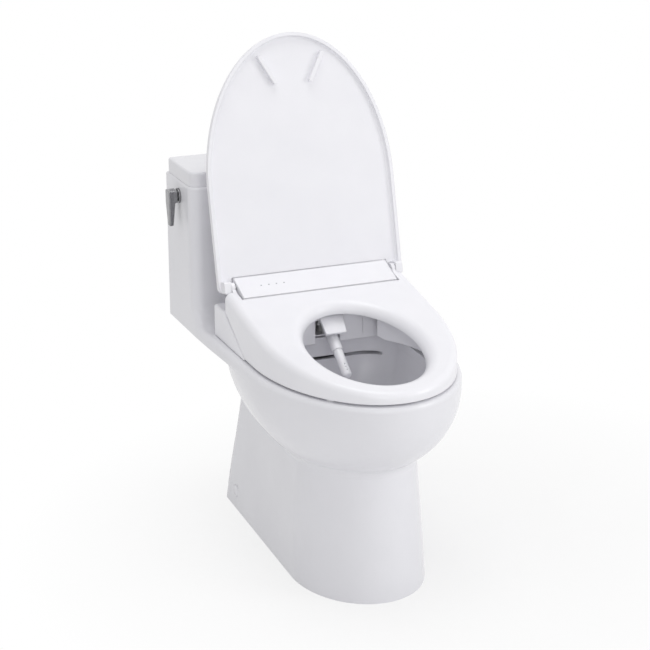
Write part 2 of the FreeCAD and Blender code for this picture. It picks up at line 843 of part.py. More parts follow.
def make_ceramic_body():
    """One casting, kept as six parts that meet face to face, so that each has plain walls."""
    upper = rounded(rounded(solid(tank_and_deck()), tank_and_deck_radius), tank_top_edge)
    doc.recompute()
    sump = Part.makeBox(2 * v.sump_half_width, v.sump_front_f - v.sump_back_f, v.sump_depth + v.overrun,
                        vec(-v.sump_half_width, back(v.sump_front_f), DECK_UNDER_Z - v.sump_depth))
    outside = upper.Shape.fuse([hull(0), sump])
    outside = outside.fuse(pedestal(0, 0, DECK_UNDER_Z + v.overrun)).removeSplitter()
    outside = outside.makeFillet(v.crease_radius, [edge for edge in outside.Edges if crease_edge(edge)])
    trap_outside = trap_tube(v.trap_radius + v.trap_wall)
    shells = bowl_space(v.ceramic_wall).fuse([trap_outside, flush_passage(v.ceramic_wall)])
    reach = v.rim_front_f
    below_rim = Part.makeBox(2 * reach, 2 * reach, reach,
                             vec(-reach, -reach, DECK_UNDER_Z - v.ceramic_wall - reach))
    hollow = pedestal(v.ceramic_wall, -v.overrun, v.pedestal_hollow_z)
    hollow = hollow.fuse(hull(v.ceramic_wall).common(below_rim)).cut(shells)
    body = outside.fuse(trap_outside).cut(hollow)
    body = body.cut([bowl_space(0), trap_tube(v.trap_radius), flush_passage(0), tank_space()] + ceramic_holes())
    below = Part.makeBox(2 * reach, 2 * reach, reach, vec(-reach, -reach, DECK_UNDER_Z - reach))
    ahead = Part.makeBox(2 * reach, reach, 2 * reach, vec(-reach, TANK_FRONT_Y - reach, -reach))
    upper = body.cut(below)
    keep(solid(upper.cut(ahead)), "ceramic_tank")
    keep(solid(upper.common(ahead)), "ceramic_rim")
    body = body.common(below)
    for name, region in (("ceramic_bowl", bowl_space(v.ceramic_wall)), ("ceramic_trapway", trap_outside),
                         ("ceramic_flush_channel", flush_passage(v.ceramic_wall).fuse(sump))):
        keep(solid(body.common(region)), name)
        body = body.cut(region)
    keep(solid(body), "ceramic_skirt")


make_ceramic_body()


# Tank lid

def upright(edge):
    return edge.BoundBox.ZLength > v.overrun


def make_tank_lid():
    half = v.tank_half_width - v.cover_side_inset
    slab = box("2 * (tank_half_width - cover_side_inset)", "cover_front_f - cover_back_f", "cover_thickness",
               vec(-half, back(v.cover_front_f), v.tank_top_z))

    def corner_radius(edge):
        if not upright(edge):
            return None
        in_front = edge.BoundBox.YMax < back(v.tank_depth / 2)
        if in_front:
            return v.tank_corner_radius - v.cover_side_inset
        return v.cover_edge_radius + v.cover_side_inset

    def top_radius(edge):
        return v.cover_edge_radius if edge.BoundBox.ZMin > v.tank_top_z + v.cover_thickness / 2 else None

    slab = rounded(rounded(slab, corner_radius), top_radius)
    lip_half = v.tank_half_width - v.tank_wall - v.cover_lip_gap
    lip_front = v.tank_depth - v.tank_wall - v.cover_lip_gap
    low_z = v.tank_top_z - v.cover_lip_depth
    lip = box("2 * (tank_half_width - tank_wall - cover_lip_gap)",
              "tank_depth - 2 * (tank_wall + cover_lip_gap)", "cover_lip_depth",
              vec(-lip_half, back(lip_front), low_z))
    lip = rounded(lip, lambda edge: v.tank_inner_radius - v.cover_lip_gap if upright(edge) else None)
    room = box("2 * (tank_half_width - tank_wall - cover_lip_gap - cover_lip_wall)",
               "tank_depth - 2 * (tank_wall + cover_lip_gap + cover_lip_wall)", "cover_lip_depth",
               vec(v.cover_lip_wall - lip_half, back(lip_front - v.cover_lip_wall), low_z))
    keep(fuse(slab, cut(lip, room)), "tank_lid")


make_tank_lid()


# Floor connection

GASKET_INNER = "trap_radius + trap_wall + fit_gap"
GASKET_OUTER = GASKET_INNER + " + gasket_wall"
COLLAR_INNER = GASKET_OUTER + " + fit_gap"


def make_floor_connection():
    plate = tube("adapter_radius", "adapter_bore_radius", "adapter_plate", vec(0, 0, 0))
    collar = tube(COLLAR_INNER + " + adapter_collar_wall", COLLAR_INNER, "adapter_collar_height",
                  vec(0, 0, v.adapter_plate))
    bolt_holes = [rod("closet_hole_radius", "adapter_plate", vec(side * v.closet_bolt_spacing / 2, 0, 0))
                  for side in SIDES]
    keep(cut(fuse(plate, collar), *bolt_holes), "outlet_adapter")
    keep(tube(GASKET_OUTER, GASKET_INNER, "gasket_height", vec(0, 0, v.adapter_plate)), "outlet_gasket")
    brackets = []
    screws = []
    caps = []
    y_mid = back(v.bracket_f)
    y_low = y_mid - v.bracket_width / 2
    outer_x = v.bracket_x + v.bracket_plate
    for side in SIDES:
        out = X_AXIS * side
        plate_x = v.bracket_x if side > 0 else -outer_x
        foot_x = outer_x - v.bracket_reach if side > 0 else -outer_x
        wall = box("bracket_plate", "bracket_width", "bracket_height", vec(plate_x, y_low, 0))
        foot = box("bracket_reach", "bracket_width", "bracket_plate", vec(foot_x, y_low, 0))
        screw_hole = rod("side_screw_radius + fit_gap", "bracket_plate",
                         vec(side * v.bracket_x, y_mid, v.side_screw_z), out)
        floor_hole = rod("bracket_hole_radius", "bracket_plate",
                         vec(side * (outer_x - v.bracket_reach / 2), y_mid, 0))
        brackets.append(cut(fuse(wall, foot), screw_hole, floor_hole))
        shank = rod("side_screw_radius", "side_screw_seat_x - bracket_x + side_screw_over",
                    vec(side * (v.bracket_x - v.side_screw_over), y_mid, v.side_screw_z), out)
        head = rod("side_screw_head_radius", "side_screw_head",
                   vec(side * v.side_screw_seat_x, y_mid, v.side_screw_z), out)
        screws.append(fuse(shank, head))
        caps.append(rod("side_cap_radius", "side_cap_thickness",
                        vec(side * (v.side_screw_seat_x + v.side_screw_head), y_mid, v.side_screw_z), out))
    keep(group(*brackets), "floor_brackets")
    keep(group(*screws), "side_screws")
    keep(group(*caps), "side_caps")


make_floor_connection()


# Lever and what it pulls

LEVER_Y = back(v.lever_f)
ROD_Y = LEVER_Y + v.crank_reach
WIRE_Y = ROD_Y - v.lift_hook_shift
BAR_Y = back(v.flapper_bar_f)
VALVE_SEAT_Z = TANK_FLOOR_Z + v.flush_gasket + v.flush_flange + v.flush_seat_height
FLAPPER_Z = VALVE_SEAT_Z + v.flapper_seal_gap + v.flapper_seal
BAR_Z = FLAPPER_Z + v.flapper_plate + v.flapper_bar_rise


def make_lever():
    wall_x = v.tank_half_width
    flange_x = wall_x + v.bushing_flange
    flange = rod("bushing_flange_radius", "bushing_flange", vec(-flange_x, LEVER_Y, LEVER_Z), X_AXIS)
    length = "bushing_flange + tank_wall + bushing_thread"
    barrel = rod("bushing_radius", length, vec(-flange_x, LEVER_Y, LEVER_Z), X_AXIS)
    bore = rod("spindle_radius + fit_gap", length, vec(-flange_x, LEVER_Y, LEVER_Z), X_AXIS)
    keep(cut(fuse(flange, barrel), bore), "handle_bushing")
    keep(tube("lever_nut_radius", "bushing_radius + fit_gap", "lever_nut",
              vec(v.tank_wall - wall_x, LEVER_Y, LEVER_Z), X_AXIS), "handle_nut")

    boss_x = flange_x + v.clear_gap + v.lever_boss
    outer_x = boss_x + v.lever_thickness
    wide = v.lever_head_half_width
    top_z = LEVER_Z + v.lever_head_rise
    step_z = LEVER_Z - v.lever_head_drop
    end_z = LEVER_Z - v.lever_arm_drop
    front_view = [(boss_x, top_z), (outer_x, top_z), (outer_x, end_z), (outer_x - v.lever_arm_end, end_z),
                  (outer_x - v.lever_arm_root, step_z), (boss_x, step_z)]
    side_view = [(-wide, top_z), (wide, top_z), (wide, end_z), (wide - v.lever_arm_end_width, end_z),
                 (-wide, step_z)]
    points = [vec(-x, LEVER_Y + wide, z) for x, z in front_view]
    ahead = Part.Face(Part.makePolygon(points + points[:1])).extrude(vec(0, -2 * wide, 0))
    points = [vec(-outer_x, LEVER_Y - forward, z) for forward, z in side_view]
    across = Part.Face(Part.makePolygon(points + points[:1])).extrude(vec(v.lever_thickness, 0, 0))
    plate = rounded(solid(ahead.common(across).removeSplitter()), lambda edge: v.lever_edge_radius)
    boss = rod("lever_boss_radius", "lever_boss", vec(-boss_x, LEVER_Y, LEVER_Z), X_AXIS)
    spindle = rod("spindle_radius", "spindle_length", vec(-boss_x, LEVER_Y, LEVER_Z), X_AXIS)
    keep(fuse(plate, boss, spindle), "flush_handle")

    collar = tube("crank_collar_radius", "spindle_radius + fit_gap", "crank_collar",
                  vec(-CRANK_X, LEVER_Y, LEVER_Z), X_AXIS)
    near = v.spindle_radius + v.crank_bar_gap
    bar = box("crank_collar", "crank_reach - spindle_radius - crank_bar_gap", "crank_bar",
              vec(-CRANK_X, LEVER_Y + near, LEVER_Z - v.crank_bar / 2))
    long_rod = rod("crank_rod_radius", CRANK_X + v.crank_rod_over, vec(-CRANK_X, ROD_Y, LEVER_Z), X_AXIS)
    keep(fuse(collar, bar, long_rod), "trip_arm")


def hook(inner_low_z):
    """Rectangular eye of the lift rod, with its lower inside edge at the given height."""
    half = v.lift_hook_width / 2
    wire = v.lift_wire_radius
    outer = box("2 * lift_wire_radius", "lift_hook_width", "lift_hook_height",
                vec(-wire, WIRE_Y - half, inner_low_z - v.lift_hook_wall))
    inner = box("2 * lift_wire_radius", "lift_hook_width - 2 * lift_hook_wall",
                "lift_hook_height - 2 * lift_hook_wall",
                vec(-wire, WIRE_Y - half + v.lift_hook_wall, inner_low_z))
    return cut(outer, inner)


def make_lift_rod():
    inner_height = v.lift_hook_height - 2 * v.lift_hook_wall
    top_low_z = LEVER_Z + v.crank_rod_radius + v.lift_hook_gap - inner_height
    foot_low_z = BAR_Z - v.flapper_bar_radius - v.lift_hook_gap
    start = foot_low_z + inner_height + v.lift_hook_wall / 2
    wire = rod("lift_wire_radius", top_low_z - v.lift_hook_wall / 2 - start, vec(0, WIRE_Y, start))
    keep(fuse(hook(top_low_z), hook(foot_low_z), wire), "lift_rod")


make_lever()
make_lift_rod()


# Flush valve

FLUSH_Y = back(v.flush_f)
FLANGE_Z = TANK_FLOOR_Z + v.flush_gasket
FLANGE_TOP_Z = FLANGE_Z + v.flush_flange
HINGE_Y = FLUSH_Y - v.flapper_hinge_reach
HINGE_Z = VALVE_SEAT_Z + v.flapper_hinge_rise
OVERFLOW_TOP_Z = v.tank_top_z - v.overflow_below_top


def make_flush_valve():
    spigot = "flush_bore_radius + flush_spigot_wall"
    keep(tube("flush_gasket_radius", spigot + " + clear_gap", "flush_gasket", vec(0, FLUSH_Y, TANK_FLOOR_Z)),
         "flush_valve_gasket")
    low_z = FLANGE_Z - v.flush_spigot
    parts = [
        rod("flush_flange_radius", "flush_flange", vec(0, FLUSH_Y, FLANGE_Z)),
        rod(spigot, "flush_spigot", vec(0, FLUSH_Y, low_z)),
        rod("flush_bore_radius + flush_seat_wall", "flush_seat_height", vec(0, FLUSH_Y, FLANGE_TOP_Z)),
        rod("overflow_radius", OVERFLOW_TOP_Z - FLANGE_Z, vec(v.overflow_x, FLUSH_Y, FLANGE_Z)),
        box("overflow_x - flush_bore_radius", "2 * overflow_boss_half", "overflow_boss_height",
            vec(v.flush_bore_radius, FLUSH_Y - v.overflow_boss_half, FLANGE_TOP_Z)),
    ]
    tools = [
        rod("flush_bore_radius", "flush_spigot + flush_flange + flush_seat_height", vec(0, FLUSH_Y, low_z)),
        rod("overflow_radius - overflow_wall", OVERFLOW_TOP_Z - FLANGE_TOP_Z - v.overflow_port_low,
            vec(v.overflow_x, FLUSH_Y, FLANGE_TOP_Z + v.overflow_port_low)),
        box("overflow_x - flush_bore_radius + overrun", "2 * overflow_port_half", "overflow_port_height",
            vec(v.flush_bore_radius - v.overrun, FLUSH_Y - v.overflow_port_half,
                FLANGE_TOP_Z + v.overflow_port_low)),
        rod("flapper_pin_radius + fit_gap", "2 * (flapper_ear_x + flapper_ear)",
            vec(-v.flapper_ear_x - v.flapper_ear, HINGE_Y, HINGE_Z), X_AXIS),
    ]
    bolts = []
    for side in SIDES:
        ear_x = v.flapper_ear_x if side > 0 else -v.flapper_ear_x - v.flapper_ear
        parts.append(box("flapper_ear", "2 * flapper_ear_half",
                         "flush_seat_height + flapper_hinge_rise + flapper_ear_half",
                         vec(ear_x, HINGE_Y - v.flapper_ear_half, FLANGE_TOP_Z)))
        y_bolt = FLUSH_Y + side * v.flush_bolt_spread
        tools.append(rod("flush_bolt_radius + fit_gap", "flush_flange", vec(-v.flush_bolt_x, y_bolt, FLANGE_Z)))
        start_z = TANK_FLOOR_Z - v.flush_bolt_depth + v.clear_gap
        shank = rod("flush_bolt_radius", "flush_bolt_depth - clear_gap + flush_gasket + flush_flange",
                    vec(-v.flush_bolt_x, y_bolt, start_z))
        head = rod("flush_bolt_head_radius", "flush_bolt_head", vec(-v.flush_bolt_x, y_bolt, FLANGE_TOP_Z))
        bolts.append(fuse(shank, head))
    keep(cut(fuse(*parts), *tools), "flush_valve")
    keep(group(*bolts), "flush_valve_bolts")


def make_flapper():
    keep(tube("flapper_radius", "flapper_radius - flapper_seal_wall", "flapper_seal",
              vec(0, FLUSH_Y, FLAPPER_Z - v.flapper_seal)), "flapper_seal")
    top_z = FLAPPER_Z + v.flapper_plate
    half = v.flapper_arm_half_width
    tab = v.flapper_tab_half_width
    reach = v.flapper_ear_x + v.flapper_ear
    parts = [
        rod("flapper_radius", "flapper_plate", vec(0, FLUSH_Y, FLAPPER_Z)),
        box("2 * flapper_arm_half_width", "flapper_hinge_reach - flapper_arm_back", "flapper_plate",
            vec(-half, HINGE_Y, HINGE_Z - v.flapper_plate)),
        rod("flapper_barrel_radius", "2 * (flapper_ear_x - clear_gap)",
            vec(v.clear_gap - v.flapper_ear_x, HINGE_Y, HINGE_Z), X_AXIS),
        rod("flapper_pin_radius", "2 * (flapper_ear_x + flapper_ear)", vec(-reach, HINGE_Y, HINGE_Z), X_AXIS),
        box("2 * flapper_tab_half_width", "flush_f - flapper_bar_f + flapper_post", "flapper_plate",
            vec(-tab, FLUSH_Y, FLAPPER_Z)),
        rod("flapper_bar_radius", "2 * flapper_tab_half_width", vec(-tab, BAR_Y, BAR_Z), X_AXIS),
    ]
    for side in SIDES:
        post_x = tab - v.flapper_post if side > 0 else -tab
        parts.append(box("flapper_post", "2 * flapper_post", "flapper_bar_rise + flapper_post",
                         vec(post_x, BAR_Y - v.flapper_post, top_z)))
    keep(fuse(*parts), "flapper")


make_flush_valve()
make_flapper()


# Fill valve

FILL_FLANGE_Z = TANK_FLOOR_Z + v.fill_washer
RISER_Z = FILL_FLANGE_Z + v.fill_flange
CAP_Z = v.tank_top_z - v.fill_cap_below_top
CAP_TOP_Z = CAP_Z + v.fill_cap_height
REFILL_Z = CAP_Z + v.fill_cap_height / 2
FLOAT_Z = CAP_Z - v.float_below_cap
ARM_LOW_Z = CAP_TOP_Z + v.valve_arm_rise
PIVOT_X = v.valve_arm_pivot_reach - FILL_X
PIVOT_Z = ARM_LOW_Z + v.valve_arm / 2
LINK_X = -FILL_X - v.float_link_reach


def make_fill_valve():
    low_z = DECK_UNDER_Z - v.fill_shank_drop
    tail_z = low_z - v.fill_tail
    centre = vec(-FILL_X, FLUSH_Y, 0)
    up = Z_AXIS
    keep(tube("fill_flange_radius", "fill_shank_radius + fit_gap", "fill_washer", centre + up * TANK_FLOOR_Z),
         "shank_washer")
    shank = "fill_shank_drop + tank_floor + fill_washer"
    body = fuse(
        rod("fill_tail_radius", "fill_tail", centre + up * tail_z),
        rod("fill_shank_radius", shank, centre + up * low_z),
        rod("fill_flange_radius", "fill_flange", centre + up * FILL_FLANGE_Z),
        rod("fill_riser_radius", CAP_Z - RISER_Z, centre + up * RISER_Z),
    )
    bore = rod("fill_bore_radius", CAP_Z - tail_z, centre + up * tail_z)
    keep(cut(body, bore), "fill_valve")
    nut = doc.addObject("Part::Prism", "hexagon")
    nut.Polygon = 6
    bind(nut, Circumradius="fill_nut_radius", Height="fill_nut")
    nut.Placement.Base = centre + up * (DECK_UNDER_Z - v.fill_nut)
    keep(cut(nut, rod("fill_shank_radius + fit_gap", "fill_nut", nut.Placement.Base)), "shank_nut")

    ears = []
    gap = v.valve_arm_half_width + v.clear_gap
    for side in SIDES:
        y_ear = FLUSH_Y + gap if side > 0 else FLUSH_Y - gap - v.valve_ear
        ears.append(box("2 * valve_arm_half_width", "valve_ear", "valve_arm_rise + 2 * valve_arm",
                        vec(PIVOT_X - v.valve_arm_half_width, y_ear, CAP_TOP_Z - v.valve_arm / 2)))
    nipple = rod("refill_bore_radius - fit_gap", "fill_cap_radius + refill_nipple",
                 vec(-FILL_X, FLUSH_Y, REFILL_Z), X_AXIS)
    pin_length = "2 * (valve_arm_half_width + clear_gap + valve_ear)"
    pin_start = vec(PIVOT_X, FLUSH_Y - gap - v.valve_ear, PIVOT_Z)
    cap = fuse(rod("fill_cap_radius", "fill_cap_height", centre + up * CAP_Z), nipple, *ears)
    keep(cut(cap, rod("valve_pin_radius + fit_gap", pin_length, pin_start, Y_AXIS)), "fill_valve_cap")
    arm = box("float_link_reach + valve_arm_pivot_reach + valve_arm_over + valve_arm",
              "2 * valve_arm_half_width", "valve_arm",
              vec(LINK_X - v.valve_arm_over, FLUSH_Y - v.valve_arm_half_width, ARM_LOW_Z))
    keep(fuse(arm, rod("valve_pin_radius", pin_length, pin_start, Y_AXIS)), "valve_arm")

    keep(tube("float_radius", "fill_riser_radius + float_gap", "float_height", centre + up * FLOAT_Z),
         "float_cup")
    float_top_z = FLOAT_Z + v.float_height
    keep(rod("float_link_radius", ARM_LOW_Z - v.clear_gap - float_top_z, vec(LINK_X, FLUSH_Y, float_top_z)),
         "float_link")


def make_refill():
    bend = v.refill_bend_radius
    start = vec(v.fill_cap_radius + v.clear_gap - FILL_X, FLUSH_Y, REFILL_Z)
    bend_start = vec(v.overflow_x - bend, FLUSH_Y, REFILL_Z)
    bend_end = vec(v.overflow_x, FLUSH_Y, REFILL_Z - bend)
    bend_share = math.sqrt(0.5)
    middle = vec(v.overflow_x - bend + bend * bend_share, FLUSH_Y, REFILL_Z - bend + bend * bend_share)
    end = vec(v.overflow_x, FLUSH_Y, OVERFLOW_TOP_Z - v.refill_dip)
    path = Part.Wire([
        Part.makeLine(start, bend_start),
        Part.Arc(bend_start, middle, bend_end).toShape(),
        Part.makeLine(bend_end, end),
    ])
    pair = []
    for radius in (v.refill_radius, v.refill_bore_radius):
        pair.append(path.makePipeShell([Part.Wire([Part.makeCircle(radius, start, X_AXIS)])], True, False))
    keep(solid(pair[0].cut(pair[1])), "refill_tube")
    top = vec(v.overflow_x, FLUSH_Y, OVERFLOW_TOP_Z)
    outer = "overflow_radius + fit_gap + refill_clip_wall"
    disc = rod(outer, "refill_clip", top)
    skirt = tube(outer, "overflow_radius + fit_gap", "refill_clip_skirt", top - Z_AXIS * v.refill_clip_skirt)
    holes = [rod("refill_radius + fit_gap", "refill_clip", top)]
    for turn_deg in (0, 90, 180, 270):
        turn = FreeCAD.Rotation(Z_AXIS, turn_deg)
        vent = top + turn.multVec(vec(v.refill_vent_reach, 0, 0))
        holes.append(rod("refill_vent_radius", "refill_clip", vent))
    keep(cut(fuse(disc, skirt), *holes), "refill_clip")


make_fill_valve()
make_refill()


# Seat unit: fixing

UNIT_LOW_Z = v.rim_z + v.unit_lift
PLATE_TOP_Z = v.rim_z + v.plate_thickness
ROOM_Z = PLATE_TOP_Z + v.unit_wall
BOLT_Y = back(v.plate_bolt_f)
BOLT_X = v.plate_bolt_spacing / 2


def make_fixing():
    plate = box("2 * plate_half_width", "plate_front_f - plate_back_f", "plate_thickness",
                vec(-v.plate_half_width, back(v.plate_front_f), v.rim_z))
    holes = []
    bolts = []
    bushes = []
    low_z = v.rim_z - v.bush_length
    for side in SIDES:
        x = side * BOLT_X
        holes.append(rod("plate_bolt_radius + fit_gap", "plate_thickness", vec(x, BOLT_Y, v.rim_z)))
        shank = rod("plate_bolt_radius", "bush_length - clear_gap + plate_thickness",
                    vec(x, BOLT_Y, low_z + v.clear_gap))
        head = rod("plate_bolt_head_radius", "plate_bolt_head", vec(x, BOLT_Y, PLATE_TOP_Z))
        bolts.append(fuse(shank, head))
        bushes.append(tube("bush_radius", "plate_bolt_radius + fit_gap", "bush_length", vec(x, BOLT_Y, low_z)))
    keep(cut(plate, *holes), "mounting_plate")
    keep(group(*bolts), "plate_bolts")
    keep(group(*bushes), "plate_bushes")


make_fixing()


# Seat unit: frames of the sloping pieces

PANEL_RUN = v.panel_front_f - v.panel_back_f
PANEL_FALL = v.panel_back_z - v.panel_front_z
PANEL_TURN = FreeCAD.Rotation(X_AXIS, math.degrees(math.atan2(PANEL_FALL, PANEL_RUN)))
PANEL_FRONT = vec(0, back(v.panel_front_f), v.panel_front_z)
WAND_TURN = FreeCAD.Rotation(X_AXIS, v.wand_drop_deg)
WAND_TIP = vec(0, back(v.wand_tip_f), v.wand_tip_z)
WAND_UP = WAND_TURN.multVec(Y_AXIS)
WAND_OUT = WAND_TURN.multVec(Z_AXIS)
PIVOT = vec(0, back(v.hinge_f), v.hinge_z)


def sloped_box(length, width, height, turn, origin, x, along, above):
    """Box in a frame turned about X: x to the side, along up the slope, above square to it."""
    obj = box(length, width, height, vec(0, 0, 0))
    obj.Placement = FreeCAD.Placement(origin + turn.multVec(vec(x, along, above)), turn)
    return obj


# Seat unit: housing

def base_outside():
    low = UNIT_LOW_Z
    middle = profile([
        (v.unit_back_f, low),
        (v.unit_back_f, v.unit_split_z),
        (v.unit_step_f, v.unit_split_z),
        (v.unit_nose_f, v.unit_nose_z),
        (v.unit_front_f, v.unit_nose_z - v.unit_front_f + v.unit_nose_f),
        (v.unit_front_f, low),
    ], v.unit_half_width)
    wings = side_profile([
        (v.unit_back_f, low),
        (v.unit_back_f, v.wing_bend_z),
        (v.wing_bend_f, v.wing_bend_z),
        (v.wing_tip_f - v.wing_tip_height / 2, low + v.wing_tip_height),
        (v.wing_tip_f, low),
    ], v.unit_half_width, v.wing_half_width)
    rims = []
    for wing in wings:
        edges = []
        for edge in wing.Edges:
            outer = min(abs(edge.BoundBox.XMin), abs(edge.BoundBox.XMax)) > v.wing_half_width - v.clear_gap
            flat = edge.BoundBox.ZLength < v.overrun and edge.BoundBox.ZMin < low + v.overrun
            behind = edge.BoundBox.YLength < v.clear_gap
            if outer and not flat and not behind:
                edges.append(edge)
        rims.append(wing.makeFillet(v.wing_edge_radius, edges))
    return middle.fuse(rims)


def base_rooms():
    wall = v.unit_wall
    back_f = v.unit_back_f + wall
    front_f = v.unit_front_f - wall
    nose_z = v.unit_nose_z - wall
    above_z = v.unit_split_z + v.overrun
    below_z = UNIT_LOW_Z - v.overrun
    main = profile([
        (back_f, ROOM_Z),
        (back_f, above_z),
        (v.unit_step_f - wall, above_z),
        (v.unit_step_f - wall, v.unit_split_z - wall),
        (v.unit_nose_f - wall / 2, nose_z),
        (front_f, nose_z - v.unit_front_f + v.unit_nose_f),
        (front_f, ROOM_Z),
    ], v.unit_half_width - wall)
    under = profile([
        (back_f, below_z), (back_f, PLATE_TOP_Z), (front_f, PLATE_TOP_Z), (front_f, below_z),
    ], v.unit_half_width - wall)
    run = v.wing_tip_f - v.wing_bend_f
    fall = v.wing_bend_z - UNIT_LOW_Z
    tip_f = v.wing_bend_f + run * (v.wing_bend_z - 2 * wall - ROOM_Z) / fall
    wings = side_profile([
        (back_f, ROOM_Z),
        (back_f, v.wing_bend_z - wall),
        (v.wing_bend_f - wall / 2, v.wing_bend_z - wall),
        (tip_f - wall, ROOM_Z),
    ], v.unit_half_width - 2 * wall, v.wing_half_width - wall)
    return [main, under] + wings


def make_base():
    tools = base_rooms()
    tools.append(Part.makeBox(v.wand_slot_left + v.wand_slot_right,
                              v.unit_front_f - v.wand_slot_back_f + v.overrun,
                              v.wand_slot_high_z - UNIT_LOW_Z + v.overrun,
                              vec(-v.wand_slot_left, back(v.unit_front_f + v.overrun), UNIT_LOW_Z - v.overrun)))
    for x in (v.seam_near_x, v.seam_far_x):
        tools.append(Part.makeBox(v.seam_width, v.seam_width + v.overrun, v.seam_high_z - v.seam_low_z,
                                  vec(x, back(v.unit_front_f + v.overrun), v.seam_low_z)))
    rear_y = back(v.unit_back_f + v.unit_wall)
    for radius, x in ((v.inlet_bore_radius, v.inlet_x), (v.gland_bore_radius, -v.inlet_x)):
        tools.append(Part.makeCylinder(radius, 2 * v.unit_wall, vec(x, rear_y, v.inlet_z), Y_AXIS))
    lugs = []
    lug_x = v.gate_half_width + v.clear_gap
    lug_depth = v.gate_f - v.unit_front_f + v.gate_barrel_radius + v.unit_wall / 2
    for side in SIDES:
        tools.append(Part.makeCylinder(v.plate_bolt_head_radius + v.clear_gap, v.unit_wall + v.overrun,
                                       vec(side * BOLT_X, BOLT_Y, PLATE_TOP_Z - v.overrun / 2)))
        x = lug_x if side > 0 else -lug_x - v.gate_lug
        corner = vec(x, back(v.gate_f + v.gate_barrel_radius), v.gate_z - v.gate_lug_height / 2)
        lugs.append(Part.makeBox(v.gate_lug, lug_depth, v.gate_lug_height, corner))
    reach = lug_x + v.gate_lug + v.overrun
    pin_hole = Part.makeCylinder(v.gate_pin_radius, 2 * reach, vec(-reach, back(v.gate_f), v.gate_z), X_AXIS)
    keep(solid(base_outside().cut(tools).fuse(lugs).cut(pin_hole).removeSplitter()), "bidet_base")


def cover_outside():
    """Upper housing: back slope, crest behind the hinge line, sloping top, front wall."""
    low_z = v.unit_split_z + v.clear_gap
    return profile([
        (v.unit_back_f + v.unit_wall / 2, low_z),
        (v.hood_waist_f, v.hood_waist_z),
        (v.hood_crest_f, v.hood_crest_z),
        (v.panel_back_f, v.panel_back_z),
        (v.panel_front_f, v.panel_front_z),
        (v.panel_front_f, low_z),
    ], v.unit_half_width)


def above_hinge(height, half):
    """Slanting half space above the hinge line, square to the panel."""
    reach = v.hinge_f
    block = Part.makeBox(2 * half, 2 * reach, reach, vec(-half, -reach, height))
    block.Placement = FreeCAD.Placement(PIVOT, PANEL_TURN)
    return block


def make_cover():
    wall = v.unit_wall
    half = v.unit_half_width - wall
    below_z = v.unit_split_z - v.overrun
    ceiling = v.panel_thickness + v.hood_wall
    room = profile([
        (v.unit_back_f + 2 * wall, below_z),
        (v.hood_waist_f + 2 * wall, v.hood_waist_z - wall),
        (v.panel_back_f, v.panel_back_z - ceiling - 2 * wall),
        (v.panel_back_f + 2 * wall, v.panel_back_z - ceiling - wall / 2),
        (v.panel_front_f - wall, v.panel_front_z - ceiling + wall / 2),
        (v.panel_front_f - wall, below_z),
    ], half)
    radius = v.damper_radius + 2 * v.clear_gap
    hood = Part.makeCylinder(radius, 2 * half, PIVOT - X_AXIS * half, X_AXIS)
    hood = hood.cut(above_hinge(v.damper_flat + v.clear_gap, half))
    through = 2 * (v.unit_half_width + v.overrun)
    pin_bore = Part.makeCylinder(v.pin_radius + v.fit_gap, through, PIVOT - X_AXIS * (through / 2), X_AXIS)
    length = math.hypot(PANEL_RUN, PANEL_FALL)
    pocket = Part.makeBox(2 * (v.unit_half_width - v.panel_gap), length, v.panel_thickness + v.overrun)
    corner = vec(v.panel_gap - v.unit_half_width, -v.panel_gap, -v.panel_thickness)
    pocket.Placement = FreeCAD.Placement(PANEL_FRONT + PANEL_TURN.multVec(corner), PANEL_TURN)
    keep(solid(cover_outside().cut([room, hood, pin_bore, pocket]).removeSplitter()), "bidet_cover")


def make_panel():
    length = math.hypot(PANEL_RUN, PANEL_FALL)
    panel = sloped_box("2 * (unit_half_width - 2 * panel_gap)", length - 2 * v.panel_gap, "panel_thickness",
                       PANEL_TURN, PANEL_FRONT, 2 * v.panel_gap - v.unit_half_width, 0, -v.panel_thickness)
    axis = PANEL_TURN.multVec(Z_AXIS)
    holes = []
    lenses = []
    for step in range(LENS_COUNT):
        place = vec(step * v.lens_pitch - v.lens_first_x, length / 2, -v.lens_height)
        start = PANEL_FRONT + PANEL_TURN.multVec(place)
        holes.append(rod("lens_radius + fit_gap", "lens_height", start, axis))
        lenses.append(rod("lens_radius", "lens_height", start, axis))
    keep(cut(panel, *holes), "top_panel")
    keep(group(*lenses), "indicator_lenses")


make_base()
make_cover()
make_panel()


# Seat unit: hinge pins, dampers and the works inside

BLOCK_X = v.seat_notch_half_width + v.seat_arm_width + v.lid_block_gap
BORE_END_X = BLOCK_X + v.lid_block_width - v.lid_block_cap


